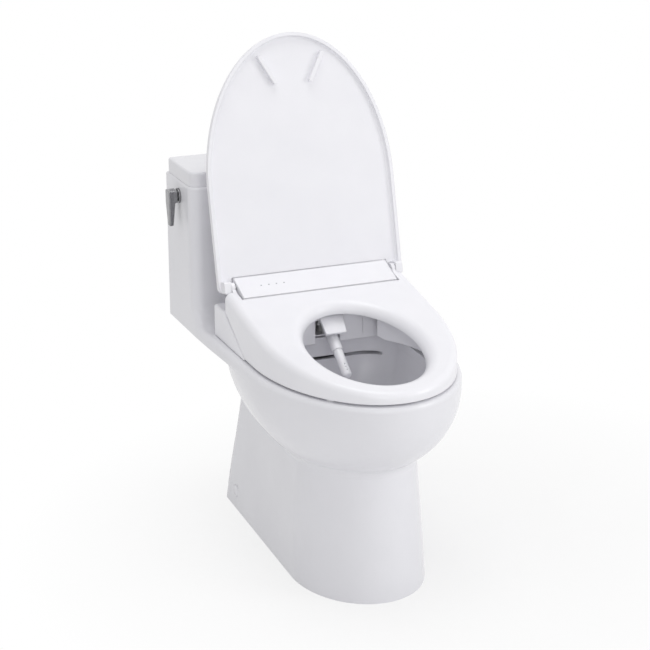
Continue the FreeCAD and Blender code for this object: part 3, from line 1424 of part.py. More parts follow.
def make_works():
    pins = []
    for side in SIDES:
        pins.append(rod("pin_radius", BORE_END_X - v.clear_gap - v.pin_inner_x,
                        PIVOT + X_AXIS * (side * v.pin_inner_x), X_AXIS * side))
    keep(group(*pins), "hinge_pins")
    start = v.pin_inner_x - v.damper_length
    for side, name in ((-1, "lid_damper"), (1, "seat_damper")):
        drum = rod("damper_radius", "damper_length", PIVOT + X_AXIS * (side * start), X_AXIS * side)
        keep(cut(drum, solid(above_hinge(v.damper_flat, v.pin_inner_x))), name)

    board_deep = v.panel_thickness + v.hood_wall + v.board_thickness
    keep(sloped_box("board_length", "board_width", "board_thickness", PANEL_TURN, PANEL_FRONT,
                    v.board_x, v.board_along, -board_deep), "control_board")
    heater_z = ROOM_Z + v.heater_radius + v.clear_gap
    keep(rod("heater_radius", "heater_length", vec(-v.heater_x, back(v.heater_f), heater_z), X_AXIS * -1),
         "heater_tank")
    keep(box("valve_block_length", "valve_block_depth", "valve_block_height",
             vec(-v.valve_block_x - v.valve_block_length, back(v.valve_block_f + v.valve_block_depth), ROOM_Z)),
         "valve_block")
    keep(rod("fan_radius", "fan_height", vec(v.fan_x, back(v.fan_f), ROOM_Z)), "air_fan")

    rear = vec(v.inlet_x, back(v.unit_back_f), v.inlet_z)
    stub = fuse(rod("inlet_radius", "inlet_length", rear, Y_AXIS),
                rod("inlet_flange_radius", "inlet_flange", rear, Y_AXIS))
    keep(cut(stub, rod("inlet_bore_radius", "inlet_length", rear, Y_AXIS)), "water_inlet")
    rear = vec(-v.inlet_x, back(v.unit_back_f), v.inlet_z)
    keep(tube("gland_radius", "gland_bore_radius", "gland_length", rear, Y_AXIS), "cord_gland")


make_works()


# Wand and gate

def along_wand(distance, above=0):
    """Place on the wand's line, measured back from the tip, and square to it."""
    return WAND_TIP + WAND_UP * distance + WAND_OUT * above


def wand_distance(forward):
    return (v.wand_tip_f - forward) / WAND_UP.y


PINION_BELOW = v.sleeve_radius + v.pinion_radius + v.clear_gap
PINION = along_wand(v.pinion_along, -PINION_BELOW)


def make_wand():
    nozzle = rounded(rod("nozzle_radius", "nozzle_length", WAND_TIP, WAND_UP), tip_radius)
    holes = []
    for step in range(SPRAY_HOLE_COUNT):
        start = along_wand(v.spray_hole_first + step * v.spray_hole_pitch, v.nozzle_radius - v.spray_hole_depth)
        holes.append(rod("spray_hole_radius", "spray_hole_depth", start, WAND_OUT))
    keep(cut(nozzle, *holes), "wand_nozzle")
    keep(tube("sleeve_radius", "sleeve_bore_radius", "sleeve_length", along_wand(v.nozzle_out), WAND_UP),
         "wand_sleeve")


def tip_radius(edge):
    at_tip = edge.Curve.TypeId == "Part::GeomCircle" and (edge.CenterOfMass - WAND_TIP).Length < v.clear_gap
    return v.nozzle_radius / 2 if at_tip else None


def make_guide():
    inner = v.sleeve_radius + v.clear_gap
    outer = inner + v.guide_wall
    start = wand_distance(v.guide_front_f)
    length = wand_distance(v.guide_back_f) - start
    rows = ((-outer, 2 * outer, -outer, v.guide_wall),
            (inner, v.guide_wall, -outer, v.guide_wall + v.guide_side),
            (-outer, v.guide_wall, -outer, v.guide_wall + v.guide_side))
    parts = []
    for x, width, above, height in rows:
        block = Part.makeBox(width, length, height)
        block.Placement = FreeCAD.Placement(along_wand(start, above) + X_AXIS * x, WAND_TURN)
        parts.append(block)
    slope = math.tan(math.radians(v.wand_drop_deg))
    drop = (inner + v.guide_wall / 2) / math.cos(math.radians(v.wand_drop_deg))

    def under_z(forward):
        return v.wand_tip_z + (v.wand_tip_f - forward) * slope - drop

    web_back = v.guide_back_f + 2 * v.guide_wall
    parts.append(profile([(web_back, ROOM_Z), (v.guide_web_f, ROOM_Z), (v.guide_web_f, under_z(v.guide_web_f)),
                          (web_back, under_z(web_back))], v.guide_web / 2))
    slot = Part.makeBox(v.pinion_width + 2 * v.guide_wall, v.guide_slot, 3 * v.guide_wall)
    corner = vec(-v.pinion_width / 2 - v.guide_wall, -v.guide_slot / 2, 0)
    slot.Placement = FreeCAD.Placement(
        along_wand(v.pinion_along, -outer - v.guide_wall) + WAND_TURN.multVec(corner), WAND_TURN)
    keep(solid(parts[0].fuse(parts[1:]).cut(slot).removeSplitter()), "wand_guide")


def make_drive():
    half = v.pinion_width / 2
    gear = rod("pinion_radius", "pinion_width", PINION - X_AXIS * half, X_AXIS)
    shaft = rod("pinion_shaft_radius", "motor_x + motor_length / 2", PINION, X_AXIS)
    keep(fuse(gear, shaft), "wand_pinion")
    can = rod("motor_radius", "motor_length", PINION + X_AXIS * v.motor_x, X_AXIS)
    foot = box("motor_length", "motor_foot", PINION.z - ROOM_Z,
               vec(v.motor_x, PINION.y - v.motor_foot / 2, ROOM_Z))
    bore = rod("pinion_shaft_radius + fit_gap", "motor_length / 2 + clear_gap", PINION + X_AXIS * v.motor_x,
               X_AXIS)
    keep(cut(fuse(can, foot), bore), "wand_motor")


def make_gate():
    axis = vec(0, back(v.gate_f), v.gate_z)
    turn = FreeCAD.Rotation(X_AXIS, -v.gate_open_deg)
    half = v.gate_half_width
    end_half = v.gate_end_half_width
    deep = v.gate_plate / 2
    points = [vec(-half, -deep, 0), vec(half, -deep, 0), vec(end_half, -deep, -v.gate_length),
              vec(-end_half, -deep, -v.gate_length)]
    flap = Part.Face(Part.makePolygon(points + points[:1])).extrude(vec(0, v.gate_plate, 0))
    plate = solid(flap.makeFillet(v.gate_edge_radius, flap.Edges))
    plate.Placement = FreeCAD.Placement(axis, turn)
    barrel = rod("gate_barrel_radius", "2 * gate_half_width", axis - X_AXIS * half, X_AXIS)
    bore = rod("gate_pin_radius + fit_gap", "2 * gate_half_width", axis - X_AXIS * half, X_AXIS)
    keep(cut(fuse(plate, barrel), bore), "nozzle_gate")
    reach = v.gate_half_width + v.clear_gap + v.gate_lug
    keep(rod("gate_pin_radius", "2 * (gate_half_width + clear_gap + gate_lug)", axis - X_AXIS * reach, X_AXIS),
         "gate_pin")


make_wand()
make_guide()
make_drive()
make_gate()


# Seat

SEAT_SLOPE = (v.seat_top_back_z - v.seat_top_front_z) / (v.seat_front_f - v.seat_horn_f)
SEAT_FAR_F = v.seat_front_f + v.overrun
SEAT_HIGH = v.seat_top_back_z - v.seat_low_z + 2 * v.overrun


def seat_top(forward, below=0):
    return v.seat_top_back_z - (forward - v.seat_horn_f) * SEAT_SLOPE - below


def seat_plan(inset, back_f):
    """Seat seen from above, drawn in by inset, as a tall block."""
    low_z = v.seat_low_z - v.overrun
    return raised(egg_outline(v.seat_half_width - inset, back(back_f), back(RIM_WIDEST_F),
                              back(v.seat_front_f - inset), low_z), SEAT_HIGH)


def seat_hole(grow):
    low_z = v.seat_low_z - v.overrun
    return raised(full_ellipse(v.seat_hole_half_width + grow, back(v.seat_hole_back_f - grow),
                               back(v.seat_hole_front_f + grow), low_z), SEAT_HIGH)


def on_seat_top(edge):
    middle = edge.valueAt((edge.FirstParameter + edge.LastParameter) / 2)
    ends = [edge.valueAt(edge.FirstParameter), middle, edge.valueAt(edge.LastParameter)]
    return all(abs(end.z - seat_top(v.outlet_f - end.y)) < v.clear_gap for end in ends)


def seat_band(upper, lower, inset, back_f):
    """Layer of the seat between two depths below its top, inside the shell."""
    layer = profile([(back_f, seat_top(back_f, upper)), (SEAT_FAR_F, seat_top(SEAT_FAR_F, upper)),
                     (SEAT_FAR_F, seat_top(SEAT_FAR_F, lower)), (back_f, seat_top(back_f, lower))],
                    v.seat_half_width)
    return seat_plan(inset, back_f).cut(seat_hole(inset)).common(layer)


def under_seat(depth, back_f):
    """Everything under the seat from a depth below its top."""
    return profile([(back_f, seat_top(back_f, depth)), (SEAT_FAR_F, seat_top(SEAT_FAR_F, depth)),
                    (SEAT_FAR_F, v.seat_low_z - v.overrun), (back_f, v.seat_low_z - v.overrun)], v.seat_half_width)


def make_seat():
    section = profile([
        (v.seat_horn_f, v.seat_top_back_z),
        (SEAT_FAR_F, seat_top(SEAT_FAR_F)),
        (SEAT_FAR_F, v.seat_low_z),
        (v.seat_flank_f, v.seat_low_z),
        (v.seat_horn_f, v.seat_flank_z),
    ], v.seat_half_width + v.overrun)
    ring = seat_plan(0, v.seat_horn_f).common(section)
    outer = [edge for edge in ring.Edges if on_seat_top(edge) and edge.BoundBox.YLength > v.overrun]
    ring = ring.makeFillet(v.seat_edge_radius, outer)
    ring = ring.cut(seat_hole(0))
    inner = [edge for edge in ring.Edges if on_seat_top(edge) and hole_edge(edge)]
    ring = ring.makeFillet(v.seat_hole_radius, inner)
    notch = profile([
        (v.seat_horn_f - v.overrun, v.seat_low_z), (v.seat_horn_f - v.overrun, v.seat_top_back_z + v.overrun),
        (v.seat_notch_f, v.seat_top_back_z + v.overrun), (v.seat_notch_f, v.seat_low_z),
    ], v.seat_notch_half_width)
    bridge_f = v.seat_hole_back_f + v.overrun
    bridge = profile([
        (v.seat_notch_f - v.overrun, v.seat_low_z - v.overrun), (bridge_f, v.seat_low_z - v.overrun),
        (bridge_f, seat_top(bridge_f, v.seat_bridge)),
        (v.seat_notch_f - v.overrun, seat_top(v.seat_notch_f - v.overrun, v.seat_bridge)),
    ], v.seat_notch_half_width + v.clear_gap)
    undercut = seat_hole(v.seat_undercut).common(under_seat(v.seat_bridge, v.seat_notch_f))
    pocket = seat_plan(v.seat_shell, v.seat_pan_back_f).cut([
        seat_hole(v.seat_shell),
        seat_hole(v.seat_undercut + v.seat_shell).common(under_seat(v.seat_bridge - v.seat_shell, v.seat_horn_f)),
    ]).common(under_seat(v.seat_shell, v.seat_pan_back_f))
    ring = ring.cut([notch, bridge, undercut, pocket])
    ring = ring.fuse(seat_arms()).removeSplitter()
    bores = []
    for side in SIDES:
        start = PIVOT + X_AXIS * (side * (v.seat_notch_half_width - v.overrun))
        bores.append(Part.makeCylinder(v.pin_radius + v.fit_gap, v.seat_arm_width + 2 * v.overrun, start,
                                       X_AXIS * side))
    keep(solid(ring.cut(bores)), "seat_ring")

    slab = profile([
        (v.seat_pan_back_f, v.seat_low_z), (SEAT_FAR_F, v.seat_low_z),
        (SEAT_FAR_F, v.seat_low_z + v.seat_pan), (v.seat_pan_back_f, v.seat_low_z + v.seat_pan),
    ], v.seat_half_width)
    pan_inset = v.seat_shell + v.clear_gap
    pan = seat_plan(pan_inset, v.seat_pan_back_f + v.clear_gap).cut(seat_hole(v.seat_undercut + pan_inset)).common(slab)
    keep(solid(pan), "seat_pan")
    keep(solid(seat_band(v.seat_shell, v.seat_shell + v.seat_foil, v.seat_shell + v.seat_foil_inset,
                         v.seat_pan_back_f + v.seat_foil_inset)), "seat_heater")
    feet = []
    places = ((v.seat_foot_back_x, v.seat_foot_back_f), (v.seat_foot_front_x, v.seat_foot_front_f))
    for side in SIDES:
        for x, forward in places:
            feet.append(rod("seat_foot_radius", "seat_low_z - rim_z - seat_foot_gap",
                            vec(side * x, back(forward), v.rim_z + v.seat_foot_gap)))
    keep(group(*feet), "seat_bumpers")


def hole_edge(edge):
    span = edge.BoundBox
    return max(abs(span.XMin), abs(span.XMax)) < v.seat_hole_half_width + v.overrun


def seat_arms():
    """The two arms that reach back from the horns to the hinge pins."""
    end_f = v.seat_horn_f + v.overrun
    low_z = v.hinge_z - v.seat_arm_low
    near = v.seat_notch_half_width
    far = near + v.seat_arm_width
    bars = side_profile([
        (v.hinge_f, v.hinge_z + v.seat_arm_radius / 2), (end_f, seat_top(end_f, v.clear_gap)),
        (end_f, low_z), (v.hinge_f, v.hinge_z - v.seat_arm_radius / 2),
    ], near, far)
    discs = []
    for side in SIDES:
        discs.append(Part.makeCylinder(v.seat_arm_radius, v.seat_arm_width, PIVOT + X_AXIS * (side * near),
                                       X_AXIS * side))
    return bars + discs


make_seat()


# Lid, drawn in its own frame and then turned to its open place

LID_PLACE = FreeCAD.Placement(PIVOT, FreeCAD.Rotation(X_AXIS, -90 - v.lid_lean_deg))


def make_lid():
    lip_n = v.lid_inner_n - v.lid_lip
    top_n = v.lid_inner_n + v.lid_plate
    shell = raised(egg_outline(v.lid_half_width, v.lid_back_v, -v.lid_widest_v, -v.lid_front_v, lip_n),
                   top_n - lip_n)
    rims = [edge for edge in shell.Edges if edge.BoundBox.ZMin > top_n - v.clear_gap]
    shell = shell.makeFillet(v.lid_edge_radius, rims)
    room = raised(egg_outline(v.lid_half_width - v.lid_lip_wall, v.lid_back_v + v.overrun, -v.lid_widest_v,
                              v.lid_lip_wall - v.lid_front_v, lip_n - v.overrun), v.lid_lip + v.overrun)
    shell = shell.cut(room)
    coves = []
    for edge in shell.Edges:
        span = edge.BoundBox
        flat = span.ZLength < v.clear_gap and abs(span.ZMin - v.lid_inner_n) < v.clear_gap
        if flat and span.YLength > v.overrun:
            coves.append(edge)
    shell = shell.makeFillet(v.lid_cove_radius, coves)
    blocks = []
    bores = []
    radius = v.lid_block_radius
    for side in SIDES:
        x = BLOCK_X if side > 0 else -BLOCK_X - v.lid_block_width
        block = Part.makeBox(v.lid_block_width, radius + v.lid_back_v,
                             v.lid_block_front + v.lid_inner_n + v.lid_plate / 2,
                             vec(x, -radius, -v.lid_block_front))
        front = [edge for edge in block.Edges
                 if edge.BoundBox.ZMax < v.clear_gap - v.lid_block_front and edge.BoundBox.YLength < v.clear_gap]
        blocks.append(block.makeFillet(v.lid_block_round, front))
        inner = X_AXIS * (side * (BLOCK_X - v.overrun))
        bores.append(Part.makeCylinder(v.pin_radius + v.fit_gap, BORE_END_X - BLOCK_X + v.overrun, inner,
                                       X_AXIS * side))
    gap_half = v.lid_gap_half_width
    gap_low = v.lid_back_v + v.overrun
    gap = Part.makeBox(2 * gap_half, v.lid_gap_v + gap_low, top_n + 2 * v.overrun,
                       vec(-gap_half, -v.lid_gap_v, -v.overrun))
    lid = solid(shell.fuse(blocks).cut([gap] + bores + lid_corners(top_n)).removeSplitter())
    lid.Placement = LID_PLACE
    keep(lid, "lid_shell")


def lid_corners(top_n):
    """What is taken off the two back corners, so that they run in behind the hinge blocks."""
    reach = v.lid_corner_radius
    side_length = reach + v.overrun
    low_n = -v.lid_block_front - v.overrun
    depth = top_n + v.overrun - low_n
    corners = []
    for side in SIDES:
        centre = vec(side * (v.lid_half_width - reach), v.lid_back_v - reach, low_n)
        x = centre.x if side > 0 else centre.x - side_length
        square = Part.makeBox(side_length, side_length, depth, vec(x, centre.y, low_n))
        corners.append(square.cut(Part.makeCylinder(reach, depth, centre)))
    return corners


def make_lid_bumpers():
    bars = []
    radius = v.bar_width / 2
    low_n = v.lid_inner_n - v.bar_height
    for side in SIDES:
        start = vec(side * v.bar_low_x, -v.bar_low_v, low_n)
        end = vec(side * v.bar_high_x, -v.bar_high_v, low_n)
        along = (end - start).normalize()
        across = Z_AXIS.cross(along)
        outline = Part.Wire([
            Part.makeLine(start - across * radius, end - across * radius),
            Part.Arc(end - across * radius, end + along * radius, end + across * radius).toShape(),
            Part.makeLine(end + across * radius, start + across * radius),
            Part.Arc(start + across * radius, start - along * radius, start - across * radius).toShape(),
        ])
        bars.append(raised(outline, v.bar_height))
    pair = solid(Part.makeCompound(bars))
    pair.Placement = LID_PLACE
    keep(pair, "lid_bumpers")


make_lid()
make_lid_bumpers()

doc.recompute()
for obj in doc.Objects:
    if "Invalid" in obj.State or "Error" in obj.State:
        raise RuntimeError("%s was not made" % obj.Label)
for node in NODES:
    if node.Shape.isNull() or not node.Shape.isValid():
        raise RuntimeError("%s has no valid shape" % node.Label)
os.makedirs("parts", exist_ok=True)
for node in NODES:
    node.Shape.exportStep("parts/%s.step" % node.Label)
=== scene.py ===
import bpy
from mathutils import Matrix, Vector


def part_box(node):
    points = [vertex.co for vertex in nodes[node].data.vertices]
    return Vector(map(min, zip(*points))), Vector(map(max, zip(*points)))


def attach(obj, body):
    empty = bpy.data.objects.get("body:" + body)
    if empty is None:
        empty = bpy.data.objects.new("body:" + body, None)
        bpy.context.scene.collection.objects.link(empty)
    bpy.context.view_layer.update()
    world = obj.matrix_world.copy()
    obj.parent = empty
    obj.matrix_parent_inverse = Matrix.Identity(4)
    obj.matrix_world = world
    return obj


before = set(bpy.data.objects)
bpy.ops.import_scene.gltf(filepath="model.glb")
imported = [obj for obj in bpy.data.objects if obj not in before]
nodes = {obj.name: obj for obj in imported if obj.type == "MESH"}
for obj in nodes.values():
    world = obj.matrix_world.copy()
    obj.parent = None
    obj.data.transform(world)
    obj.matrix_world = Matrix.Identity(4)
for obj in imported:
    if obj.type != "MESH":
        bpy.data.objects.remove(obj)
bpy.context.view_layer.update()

# Camera, fitted to the photograph's 650 by 650 frame

CAMERA_PLACE = (-1.3117, -3.2271, 1.6224)
CAMERA_RIGHT = (0.92437, -0.38149, -0.00141)
CAMERA_UP = (0.12452, 0.29824, 0.94633)
CAMERA_BACK = (-0.36060, -0.87494, 0.32318)
IMAGE_PIXELS = 650
FOCAL_PIXELS = 1887.2
SENSOR_MM = 36.0
CAMERA_REACH = 60.0


def place_camera():
    data = bpy.data.cameras.new("photo_camera")
    data.sensor_width = SENSOR_MM
    data.lens = FOCAL_PIXELS / IMAGE_PIXELS * SENSOR_MM
    data.clip_end = CAMERA_REACH
    camera = bpy.data.objects.new("photo_camera", data)
    columns = (CAMERA_RIGHT, CAMERA_UP, CAMERA_BACK, CAMERA_PLACE)
    rows = [[column[row] for column in columns] for row in range(3)]
    camera.matrix_world = Matrix(rows + [[0.0, 0.0, 0.0, 1.0]])
    bpy.context.collection.objects.link(camera)
    bpy.context.scene.camera = camera


# Rays that see the white background

def seen_directly(tree):
    """1 for camera, glossy and transmission rays, 0 for the rays that only light the object."""
    path = tree.nodes.new("ShaderNodeLightPath")
    seen = path.outputs["Is Camera Ray"]
    for kind in ("Is Glossy Ray", "Is Transmission Ray"):
        either = tree.nodes.new("ShaderNodeMath")
        either.operation = "MAXIMUM"
        tree.links.new(seen, either.inputs[0])
        tree.links.new(path.outputs[kind], either.inputs[1])
        seen = either.outputs["Value"]
    return seen


# Finishes

COLOUR_STOPS = (0.3, 0.7)
EDGE_SAMPLES = 8


class Finish:
    """A material with its shader, its object coordinates and short ways to add nodes."""

    def __init__(self, name):
        self.material = bpy.data.materials.new(name)
        self.material.use_nodes = True
        self.tree = self.material.node_tree
        self.shader = self.tree.nodes["Principled BSDF"]
        self.places = self.add("ShaderNodeTexCoord").outputs["Object"]

    def add(self, kind, **settings):
        node = self.tree.nodes.new(kind)
        for key, value in settings.items():
            setattr(node, key, value)
        return node

    def link(self, source, target):
        self.tree.links.new(source, target)

    def noise(self, scale, detail=2.0, roughness=0.5, places=None):
        node = self.add("ShaderNodeTexNoise")
        node.inputs["Scale"].default_value = scale
        node.inputs["Detail"].default_value = detail
        node.inputs["Roughness"].default_value = roughness
        self.link(places or self.places, node.inputs["Vector"])
        return node.outputs["Fac"]

    def stretched(self, scale):
        node = self.add("ShaderNodeMapping")
        node.inputs["Scale"].default_value = scale
        self.link(self.places, node.inputs["Vector"])
        return node.outputs["Vector"]

    def spread(self, source, low, high):
        node = self.add("ShaderNodeMapRange")
        node.inputs["To Min"].default_value = low
        node.inputs["To Max"].default_value = high
        self.link(source, node.inputs["Value"])
        return node.outputs["Result"]

    def colour(self, source, low, high):
        node = self.add("ShaderNodeValToRGB")
        for point, position, colour in zip(node.color_ramp.elements, COLOUR_STOPS, (low, high)):
            point.position = position
            point.color = (*colour, 1.0)
        self.link(source, node.inputs["Fac"])
        self.link(node.outputs["Color"], self.shader.inputs["Base Color"])

    def gloss(self, source, low, high):
        self.link(self.spread(source, low, high), self.shader.inputs["Roughness"])

    def bump(self, source, strength, distance):
        node = self.add("ShaderNodeBump")
        node.inputs["Strength"].default_value = strength
        node.inputs["Distance"].default_value = distance
        self.link(source, node.inputs["Height"])
        shader_normal = self.shader.inputs["Normal"]
        if shader_normal.is_linked:
            self.link(shader_normal.links[0].from_socket, node.inputs["Normal"])
        self.link(node.outputs["Normal"], shader_normal)

    def soften(self, radius):
        """Worn, slightly round edges in the shading, before any bump is laid over it."""
        node = self.add("ShaderNodeBevel", samples=EDGE_SAMPLES)
        node.inputs["Radius"].default_value = radius
        self.link(node.outputs["Normal"], self.shader.inputs["Normal"])

    def set(self, **values):
        for key, value in values.items():
            self.shader.inputs[key.replace("_", " ")].default_value = value


def glazed_china():
    finish = Finish("glazed_china")
    finish.colour(finish.noise(7.0, 4.0), (0.795, 0.792, 0.828), (0.830, 0.827, 0.862))
    finish.gloss(finish.noise(40.0, 3.0), 0.16, 0.25)
    finish.bump(finish.noise(22.0, 1.0), 0.04, 0.003)
    finish.bump(finish.noise(420.0, 2.0), 0.02, 0.0003)
    finish.set(IOR=1.46, Specular_IOR_Level=0.4)
    return finish.material


def seat_plastic():
    finish = Finish("seat_plastic")
    finish.colour(finish.noise(11.0, 3.0), (0.852, 0.849, 0.886), (0.876, 0.873, 0.908))
    finish.gloss(finish.noise(160.0, 3.0), 0.26, 0.34)
    finish.soften(0.002)
    finish.bump(finish.noise(300.0, 2.0), 0.015, 0.0002)
    finish.set(IOR=1.49)
    return finish.material


def housing_plastic():
    finish = Finish("housing_plastic")
    finish.colour(finish.noise(15.0, 3.0), (0.848, 0.845, 0.882), (0.874, 0.871, 0.906))
    finish.gloss(finish.noise(210.0, 3.0), 0.30, 0.40)
    finish.soften(0.003)
    finish.bump(finish.noise(300.0, 2.0), 0.02, 0.0002)
    finish.set(IOR=1.49)
    return finish.material


def chrome_plate():
    finish = Finish("chrome_plate")
    finish.colour(finish.noise(60.0, 3.0), (0.24, 0.24, 0.25), (0.33, 0.33, 0.34))
    finish.gloss(finish.noise(300.0, 4.0), 0.14, 0.24)
    finish.soften(0.0015)
    finish.bump(finish.noise(90.0, 2.0), 0.03, 0.0005)
    finish.set(Metallic=1.0)
    return finish.material


def brushed_steel():
    finish = Finish("brushed_steel")
    brushing = finish.noise(60.0, 5.0, 0.6, finish.stretched((1.0, 14.0, 14.0)))
    finish.colour(brushing, (0.45, 0.455, 0.46), (0.60, 0.605, 0.61))
    finish.gloss(brushing, 0.28, 0.45)
    finish.bump(brushing, 0.06, 0.0002)
    finish.set(Metallic=1.0)
    return finish.material


def dull_brass():
    finish = Finish("dull_brass")
    finish.colour(finish.noise(90.0, 5.0), (0.44, 0.31, 0.13), (0.62, 0.47, 0.22))
    finish.gloss(finish.noise(200.0, 4.0), 0.25, 0.42)
    finish.set(Metallic=1.0)
    return finish.material


def black_rubber():
    finish = Finish("black_rubber")
    finish.colour(finish.noise(120.0, 4.0), (0.022, 0.022, 0.024), (0.050, 0.050, 0.053))
    finish.gloss(finish.noise(500.0, 3.0), 0.62, 0.85)
    finish.bump(finish.noise(2500.0, 2.0), 0.15, 0.0002)
    return finish.material


def pale_rubber():
    finish = Finish("pale_rubber")
    finish.colour(finish.noise(120.0, 4.0), (0.60, 0.60, 0.62), (0.70, 0.70, 0.72))
    finish.gloss(finish.noise(500.0, 3.0), 0.55, 0.75)
    finish.bump(finish.noise(2500.0, 2.0), 0.15, 0.0002)
    return finish.material


def fitting_plastic(name, low, high):
    finish = Finish(name)
    finish.colour(finish.noise(35.0, 4.0), low, high)
    finish.gloss(finish.noise(260.0, 3.0), 0.38, 0.55)
    finish.bump(finish.noise(1700.0, 2.0), 0.08, 0.0002)
    return finish.material


def circuit_board():
    finish = Finish("circuit_board")
    tracks = finish.add("ShaderNodeTexBrick")
    tracks.inputs["Scale"].default_value = 160.0
    tracks.inputs["Color1"].default_value = (0.012, 0.115, 0.045, 1.0)
    tracks.inputs["Color2"].default_value = (0.016, 0.145, 0.060, 1.0)
    tracks.inputs["Mortar"].default_value = (0.030, 0.220, 0.095, 1.0)
    finish.link(finish.places, tracks.inputs["Vector"])
    finish.link(tracks.outputs["Color"], finish.shader.inputs["Base Color"])
    finish.gloss(finish.noise(300.0), 0.25, 0.4)
    return finish.material


def heating_foil():
    finish = Finish("heating_foil")
    finish.colour(finish.noise(140.0, 4.0), (0.60, 0.60, 0.61), (0.78, 0.78, 0.79))
    finish.gloss(finish.noise(400.0, 3.0), 0.25, 0.4)
    finish.bump(finish.noise(250.0, 3.0), 0.2, 0.0004)
    finish.set(Metallic=1.0)
    return finish.material


def lamp_lens():
    finish = Finish("lamp_lens")
    finish.colour(finish.noise(800.0), (0.42, 0.42, 0.46), (0.52, 0.52, 0.56))
    finish.gloss(finish.noise(900.0), 0.12, 0.2)
    return finish.material


FLOOR_CENTRE = (0.22, -0.12)
FLOOR_FADE = (0.10, 0.85)
FLOOR_WHITE = (0.60, 1.0)


def floor_finish():
    """Pale floor that keeps the soft shadow near the foot and fades into white further out."""
    finish = Finish("pale_floor")
    finish.colour(finish.noise(5.0), (0.86, 0.86, 0.86), (0.88, 0.88, 0.88))
    finish.gloss(finish.noise(30.0), 0.75, 0.85)
    centred = finish.add("ShaderNodeMapping")
    centred.inputs["Location"].default_value = (-FLOOR_CENTRE[0], -FLOOR_CENTRE[1], 0.0)
    finish.link(finish.places, centred.inputs["Vector"])
    reach = finish.add("ShaderNodeVectorMath", operation="LENGTH")
    finish.link(centred.outputs["Vector"], reach.inputs[0])
    fade = finish.add("ShaderNodeMapRange")
    fade.inputs["From Min"].default_value, fade.inputs["From Max"].default_value = FLOOR_FADE
    fade.inputs["To Min"].default_value, fade.inputs["To Max"].default_value = FLOOR_WHITE
    finish.link(reach.outputs["Value"], fade.inputs["Value"])
    share = finish.add("ShaderNodeMath", operation="MULTIPLY")
    finish.link(seen_directly(finish.tree), share.inputs[0])
    finish.link(fade.outputs["Result"], share.inputs[1])
    white = finish.add("ShaderNodeEmission")
    white.inputs["Strength"].default_value = 1.0
    blend = finish.add("ShaderNodeMixShader")
    finish.link(share.outputs["Value"], blend.inputs["Fac"])
    finish.link(finish.shader.outputs["BSDF"], blend.inputs[1])
    finish.link(white.outputs["Emission"], blend.inputs[2])
    finish.link(blend.outputs["Shader"], finish.tree.nodes["Material Output"].inputs["Surface"])
    return finish.material


def dress(material, *names):
    for name in names:
        mesh = nodes[name].data
        mesh.materials.clear()
        mesh.materials.append(material)


def dress_nodes():
    dress(glazed_china(), "ceramic_tank", "ceramic_rim", "ceramic_bowl", "ceramic_trapway", "ceramic_flush_channel",
          "ceramic_skirt", "tank_lid")
    dress(seat_plastic(), "seat_ring", "seat_pan", "lid_shell", "lid_bumpers")
    dress(housing_plastic(), "bidet_base", "bidet_cover", "top_panel", "wand_sleeve", "wand_nozzle", "nozzle_gate",
          "side_caps")
    dress(chrome_plate(), "flush_handle", "handle_bushing")
    dress(brushed_steel(), "floor_brackets", "side_screws", "lift_rod", "flush_valve_bolts", "plate_bolts",
          "hinge_pins", "gate_pin", "float_link", "heater_tank")
    dress(dull_brass(), "trip_arm", "water_inlet")
    dress(black_rubber(), "outlet_gasket", "flush_valve_gasket", "flapper_seal", "shank_washer", "plate_bushes",
          "cord_gland")
    dress(pale_rubber(), "seat_bumpers")
    dress(fitting_plastic("white_fitting", (0.74, 0.74, 0.73), (0.82, 0.82, 0.81)), "outlet_adapter", "handle_nut",
          "flush_valve", "fill_valve", "shank_nut", "fill_valve_cap", "valve_arm", "refill_clip", "mounting_plate",
          "wand_guide", "wand_pinion")
    dress(fitting_plastic("red_flapper", (0.38, 0.035, 0.028), (0.52, 0.060, 0.045)), "flapper")
    dress(fitting_plastic("grey_fitting", (0.13, 0.132, 0.14), (0.20, 0.202, 0.21)), "float_cup", "refill_tube",
          "lid_damper", "seat_damper", "valve_block", "air_fan", "wand_motor")
    dress(circuit_board(), "control_board")
    dress(heating_foil(), "seat_heater")
    dress(lamp_lens(), "indicator_lenses")


# Screw threads

THREAD_PITCH = 0.0018
THREAD_RIDGE = 0.00055
THREAD_CORE = 0.0102
SEAT_INLET_PLACE = (0.140, 0.447)
SEAT_INLET_TURNS = 6
TURN_POINTS = 40
RIDGE_POINTS = 6


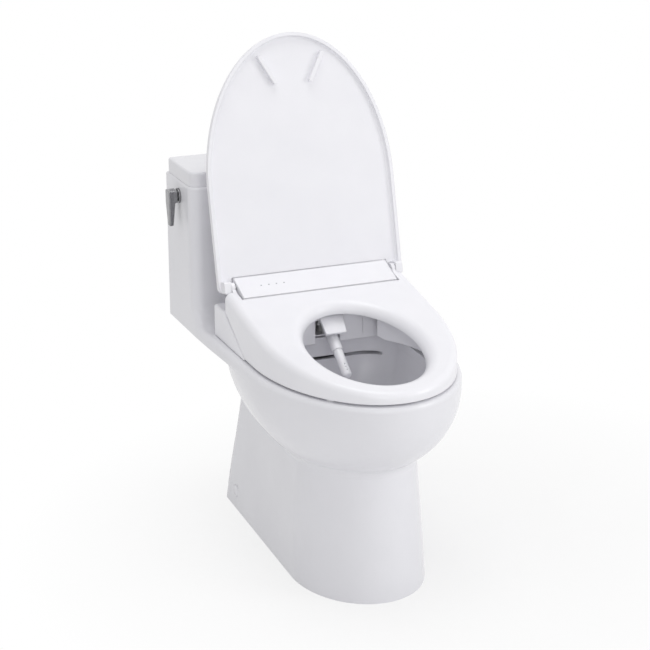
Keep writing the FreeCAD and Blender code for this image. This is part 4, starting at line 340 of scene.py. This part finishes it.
def thread_tree(material):
    """Rings set along a line, as many as the thread has turns."""
    tree = bpy.data.node_groups.new("screw_thread", "GeometryNodeTree")
    face = tree.interface
    for name, kind in (("Turns", "NodeSocketInt"), ("Pitch", "NodeSocketFloat"), ("Pitch radius", "NodeSocketFloat"),
                       ("Ridge radius", "NodeSocketFloat")):
        face.new_socket(name, in_out="INPUT", socket_type=kind)
    face.new_socket("Geometry", in_out="OUTPUT", socket_type="NodeSocketGeometry")
    sizes = tree.nodes.new("NodeGroupInput")
    result = tree.nodes.new("NodeGroupOutput")
    step = tree.nodes.new("ShaderNodeCombineXYZ")
    line = tree.nodes.new("GeometryNodeMeshLine")
    turn = tree.nodes.new("GeometryNodeCurvePrimitiveCircle")
    turn.inputs["Resolution"].default_value = TURN_POINTS
    ridge = tree.nodes.new("GeometryNodeCurvePrimitiveCircle")
    ridge.inputs["Resolution"].default_value = RIDGE_POINTS
    sweep = tree.nodes.new("GeometryNodeCurveToMesh")
    spread = tree.nodes.new("GeometryNodeInstanceOnPoints")
    real = tree.nodes.new("GeometryNodeRealizeInstances")
    paint = tree.nodes.new("GeometryNodeSetMaterial")
    paint.inputs["Material"].default_value = material
    links = (
        (sizes.outputs["Turns"], line.inputs["Count"]),
        (sizes.outputs["Pitch"], step.inputs["Z"]),
        (step.outputs["Vector"], line.inputs["Offset"]),
        (sizes.outputs["Pitch radius"], turn.inputs["Radius"]),
        (sizes.outputs["Ridge radius"], ridge.inputs["Radius"]),
        (turn.outputs["Curve"], sweep.inputs["Curve"]),
        (ridge.outputs["Curve"], sweep.inputs["Profile Curve"]),
        (line.outputs["Mesh"], spread.inputs["Points"]),
        (sweep.outputs["Mesh"], spread.inputs["Instance"]),
        (spread.outputs["Instances"], real.inputs["Geometry"]),
        (real.outputs["Geometry"], paint.inputs["Geometry"]),
        (paint.outputs["Geometry"], result.inputs["Geometry"]),
    )
    for source, target in links:
        tree.links.new(source, target)
    return tree


def cut_thread(name, start, along, turns, material):
    """A thread on a round core, from its start and in the direction along."""
    shell = bpy.data.objects.new(name + "_shape", bpy.data.meshes.new(name + "_shape"))
    bpy.context.collection.objects.link(shell)
    rings = shell.modifiers.new("rings", "NODES")
    rings.node_group = thread_tree(material)
    values = {"Turns": turns, "Pitch": THREAD_PITCH, "Pitch radius": THREAD_CORE, "Ridge radius": THREAD_RIDGE}
    for socket in rings.node_group.interface.items_tree:
        if socket.in_out == "INPUT":
            rings[socket.identifier] = values[socket.name]
    mesh = bpy.data.meshes.new_from_object(shell.evaluated_get(bpy.context.evaluated_depsgraph_get()))
    bpy.data.objects.remove(shell)
    turned = Vector(along).to_track_quat("Z", "Y").to_matrix().to_4x4()
    mesh.transform(Matrix.Translation(start) @ turned)
    mesh.name = name
    for polygon in mesh.polygons:
        polygon.use_smooth = True
    piece = bpy.data.objects.new(name, mesh)
    bpy.context.collection.objects.link(piece)
    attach(piece, "base")


def cut_threads():
    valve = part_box("fill_valve")
    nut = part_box("shank_nut")
    middle = (Vector(nut[0]) + Vector(nut[1])) / 2
    low = valve[0][2] + 2 * THREAD_RIDGE
    turns = int((nut[0][2] - low) / THREAD_PITCH)
    cut_thread("supply_thread", Vector((middle.x, middle.y, low)), (0.0, 0.0, 1.0), turns,
               nodes["fill_valve"].data.materials[0])
    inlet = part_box("water_inlet")
    end = Vector((SEAT_INLET_PLACE[0], inlet[1][1] - 2 * THREAD_RIDGE, SEAT_INLET_PLACE[1]))
    cut_thread("seat_inlet_thread", end, (0.0, -1.0, 0.0), SEAT_INLET_TURNS,
               nodes["water_inlet"].data.materials[0])


# Floor and light

FLOOR_REACH = 25.0
SKY_LIGHT = 0.62
SKY_SEEN = 1.0
LAMP_TARGET = (0.0, -0.1, 0.45)
LAMPS = (
    ("top", (0.0, -0.1, 3.6), 2.0, 27.0),
    ("right", (2.7, -2.2, 2.0), 1.8, 28.0),
    ("front", (-1.0, -3.6, 1.6), 1.8, 16.0),
)


def lay_floor():
    mesh = bpy.data.meshes.new("floor")
    corners = [(x * FLOOR_REACH, y * FLOOR_REACH, 0.0) for x, y in ((-1, -1), (1, -1), (1, 1), (-1, 1))]
    mesh.from_pydata(corners, [], [(0, 1, 2, 3)])
    mesh.materials.append(floor_finish())
    floor = bpy.data.objects.new("floor", mesh)
    bpy.context.collection.objects.link(floor)


def area_lamp(name, place, size, watts):
    data = bpy.data.lights.new(name, "AREA")
    data.shape = "DISK"
    data.size = size
    data.energy = watts
    lamp = bpy.data.objects.new(name, data)
    lamp.location = place
    lamp.rotation_mode = "QUATERNION"
    lamp.rotation_quaternion = (Vector(LAMP_TARGET) - Vector(place)).to_track_quat("-Z", "Y")
    bpy.context.collection.objects.link(lamp)


def light_studio():
    world = bpy.data.worlds.new("studio")
    bpy.context.scene.world = world
    world.use_nodes = True
    tree = world.node_tree
    sky = tree.nodes["Background"]
    sky.inputs["Color"].default_value = (1.0, 1.0, 1.0, 1.0)
    level = tree.nodes.new("ShaderNodeMapRange")
    level.inputs["To Min"].default_value = SKY_LIGHT
    level.inputs["To Max"].default_value = SKY_SEEN
    tree.links.new(seen_directly(tree), level.inputs["Value"])
    tree.links.new(level.outputs["Result"], sky.inputs["Strength"])
    for name, place, size, watts in LAMPS:
        area_lamp(name, place, size, watts)


place_camera()
dress_nodes()
cut_threads()
lay_floor()
light_studio()

bpy.context.scene.view_settings.view_transform = "Standard"
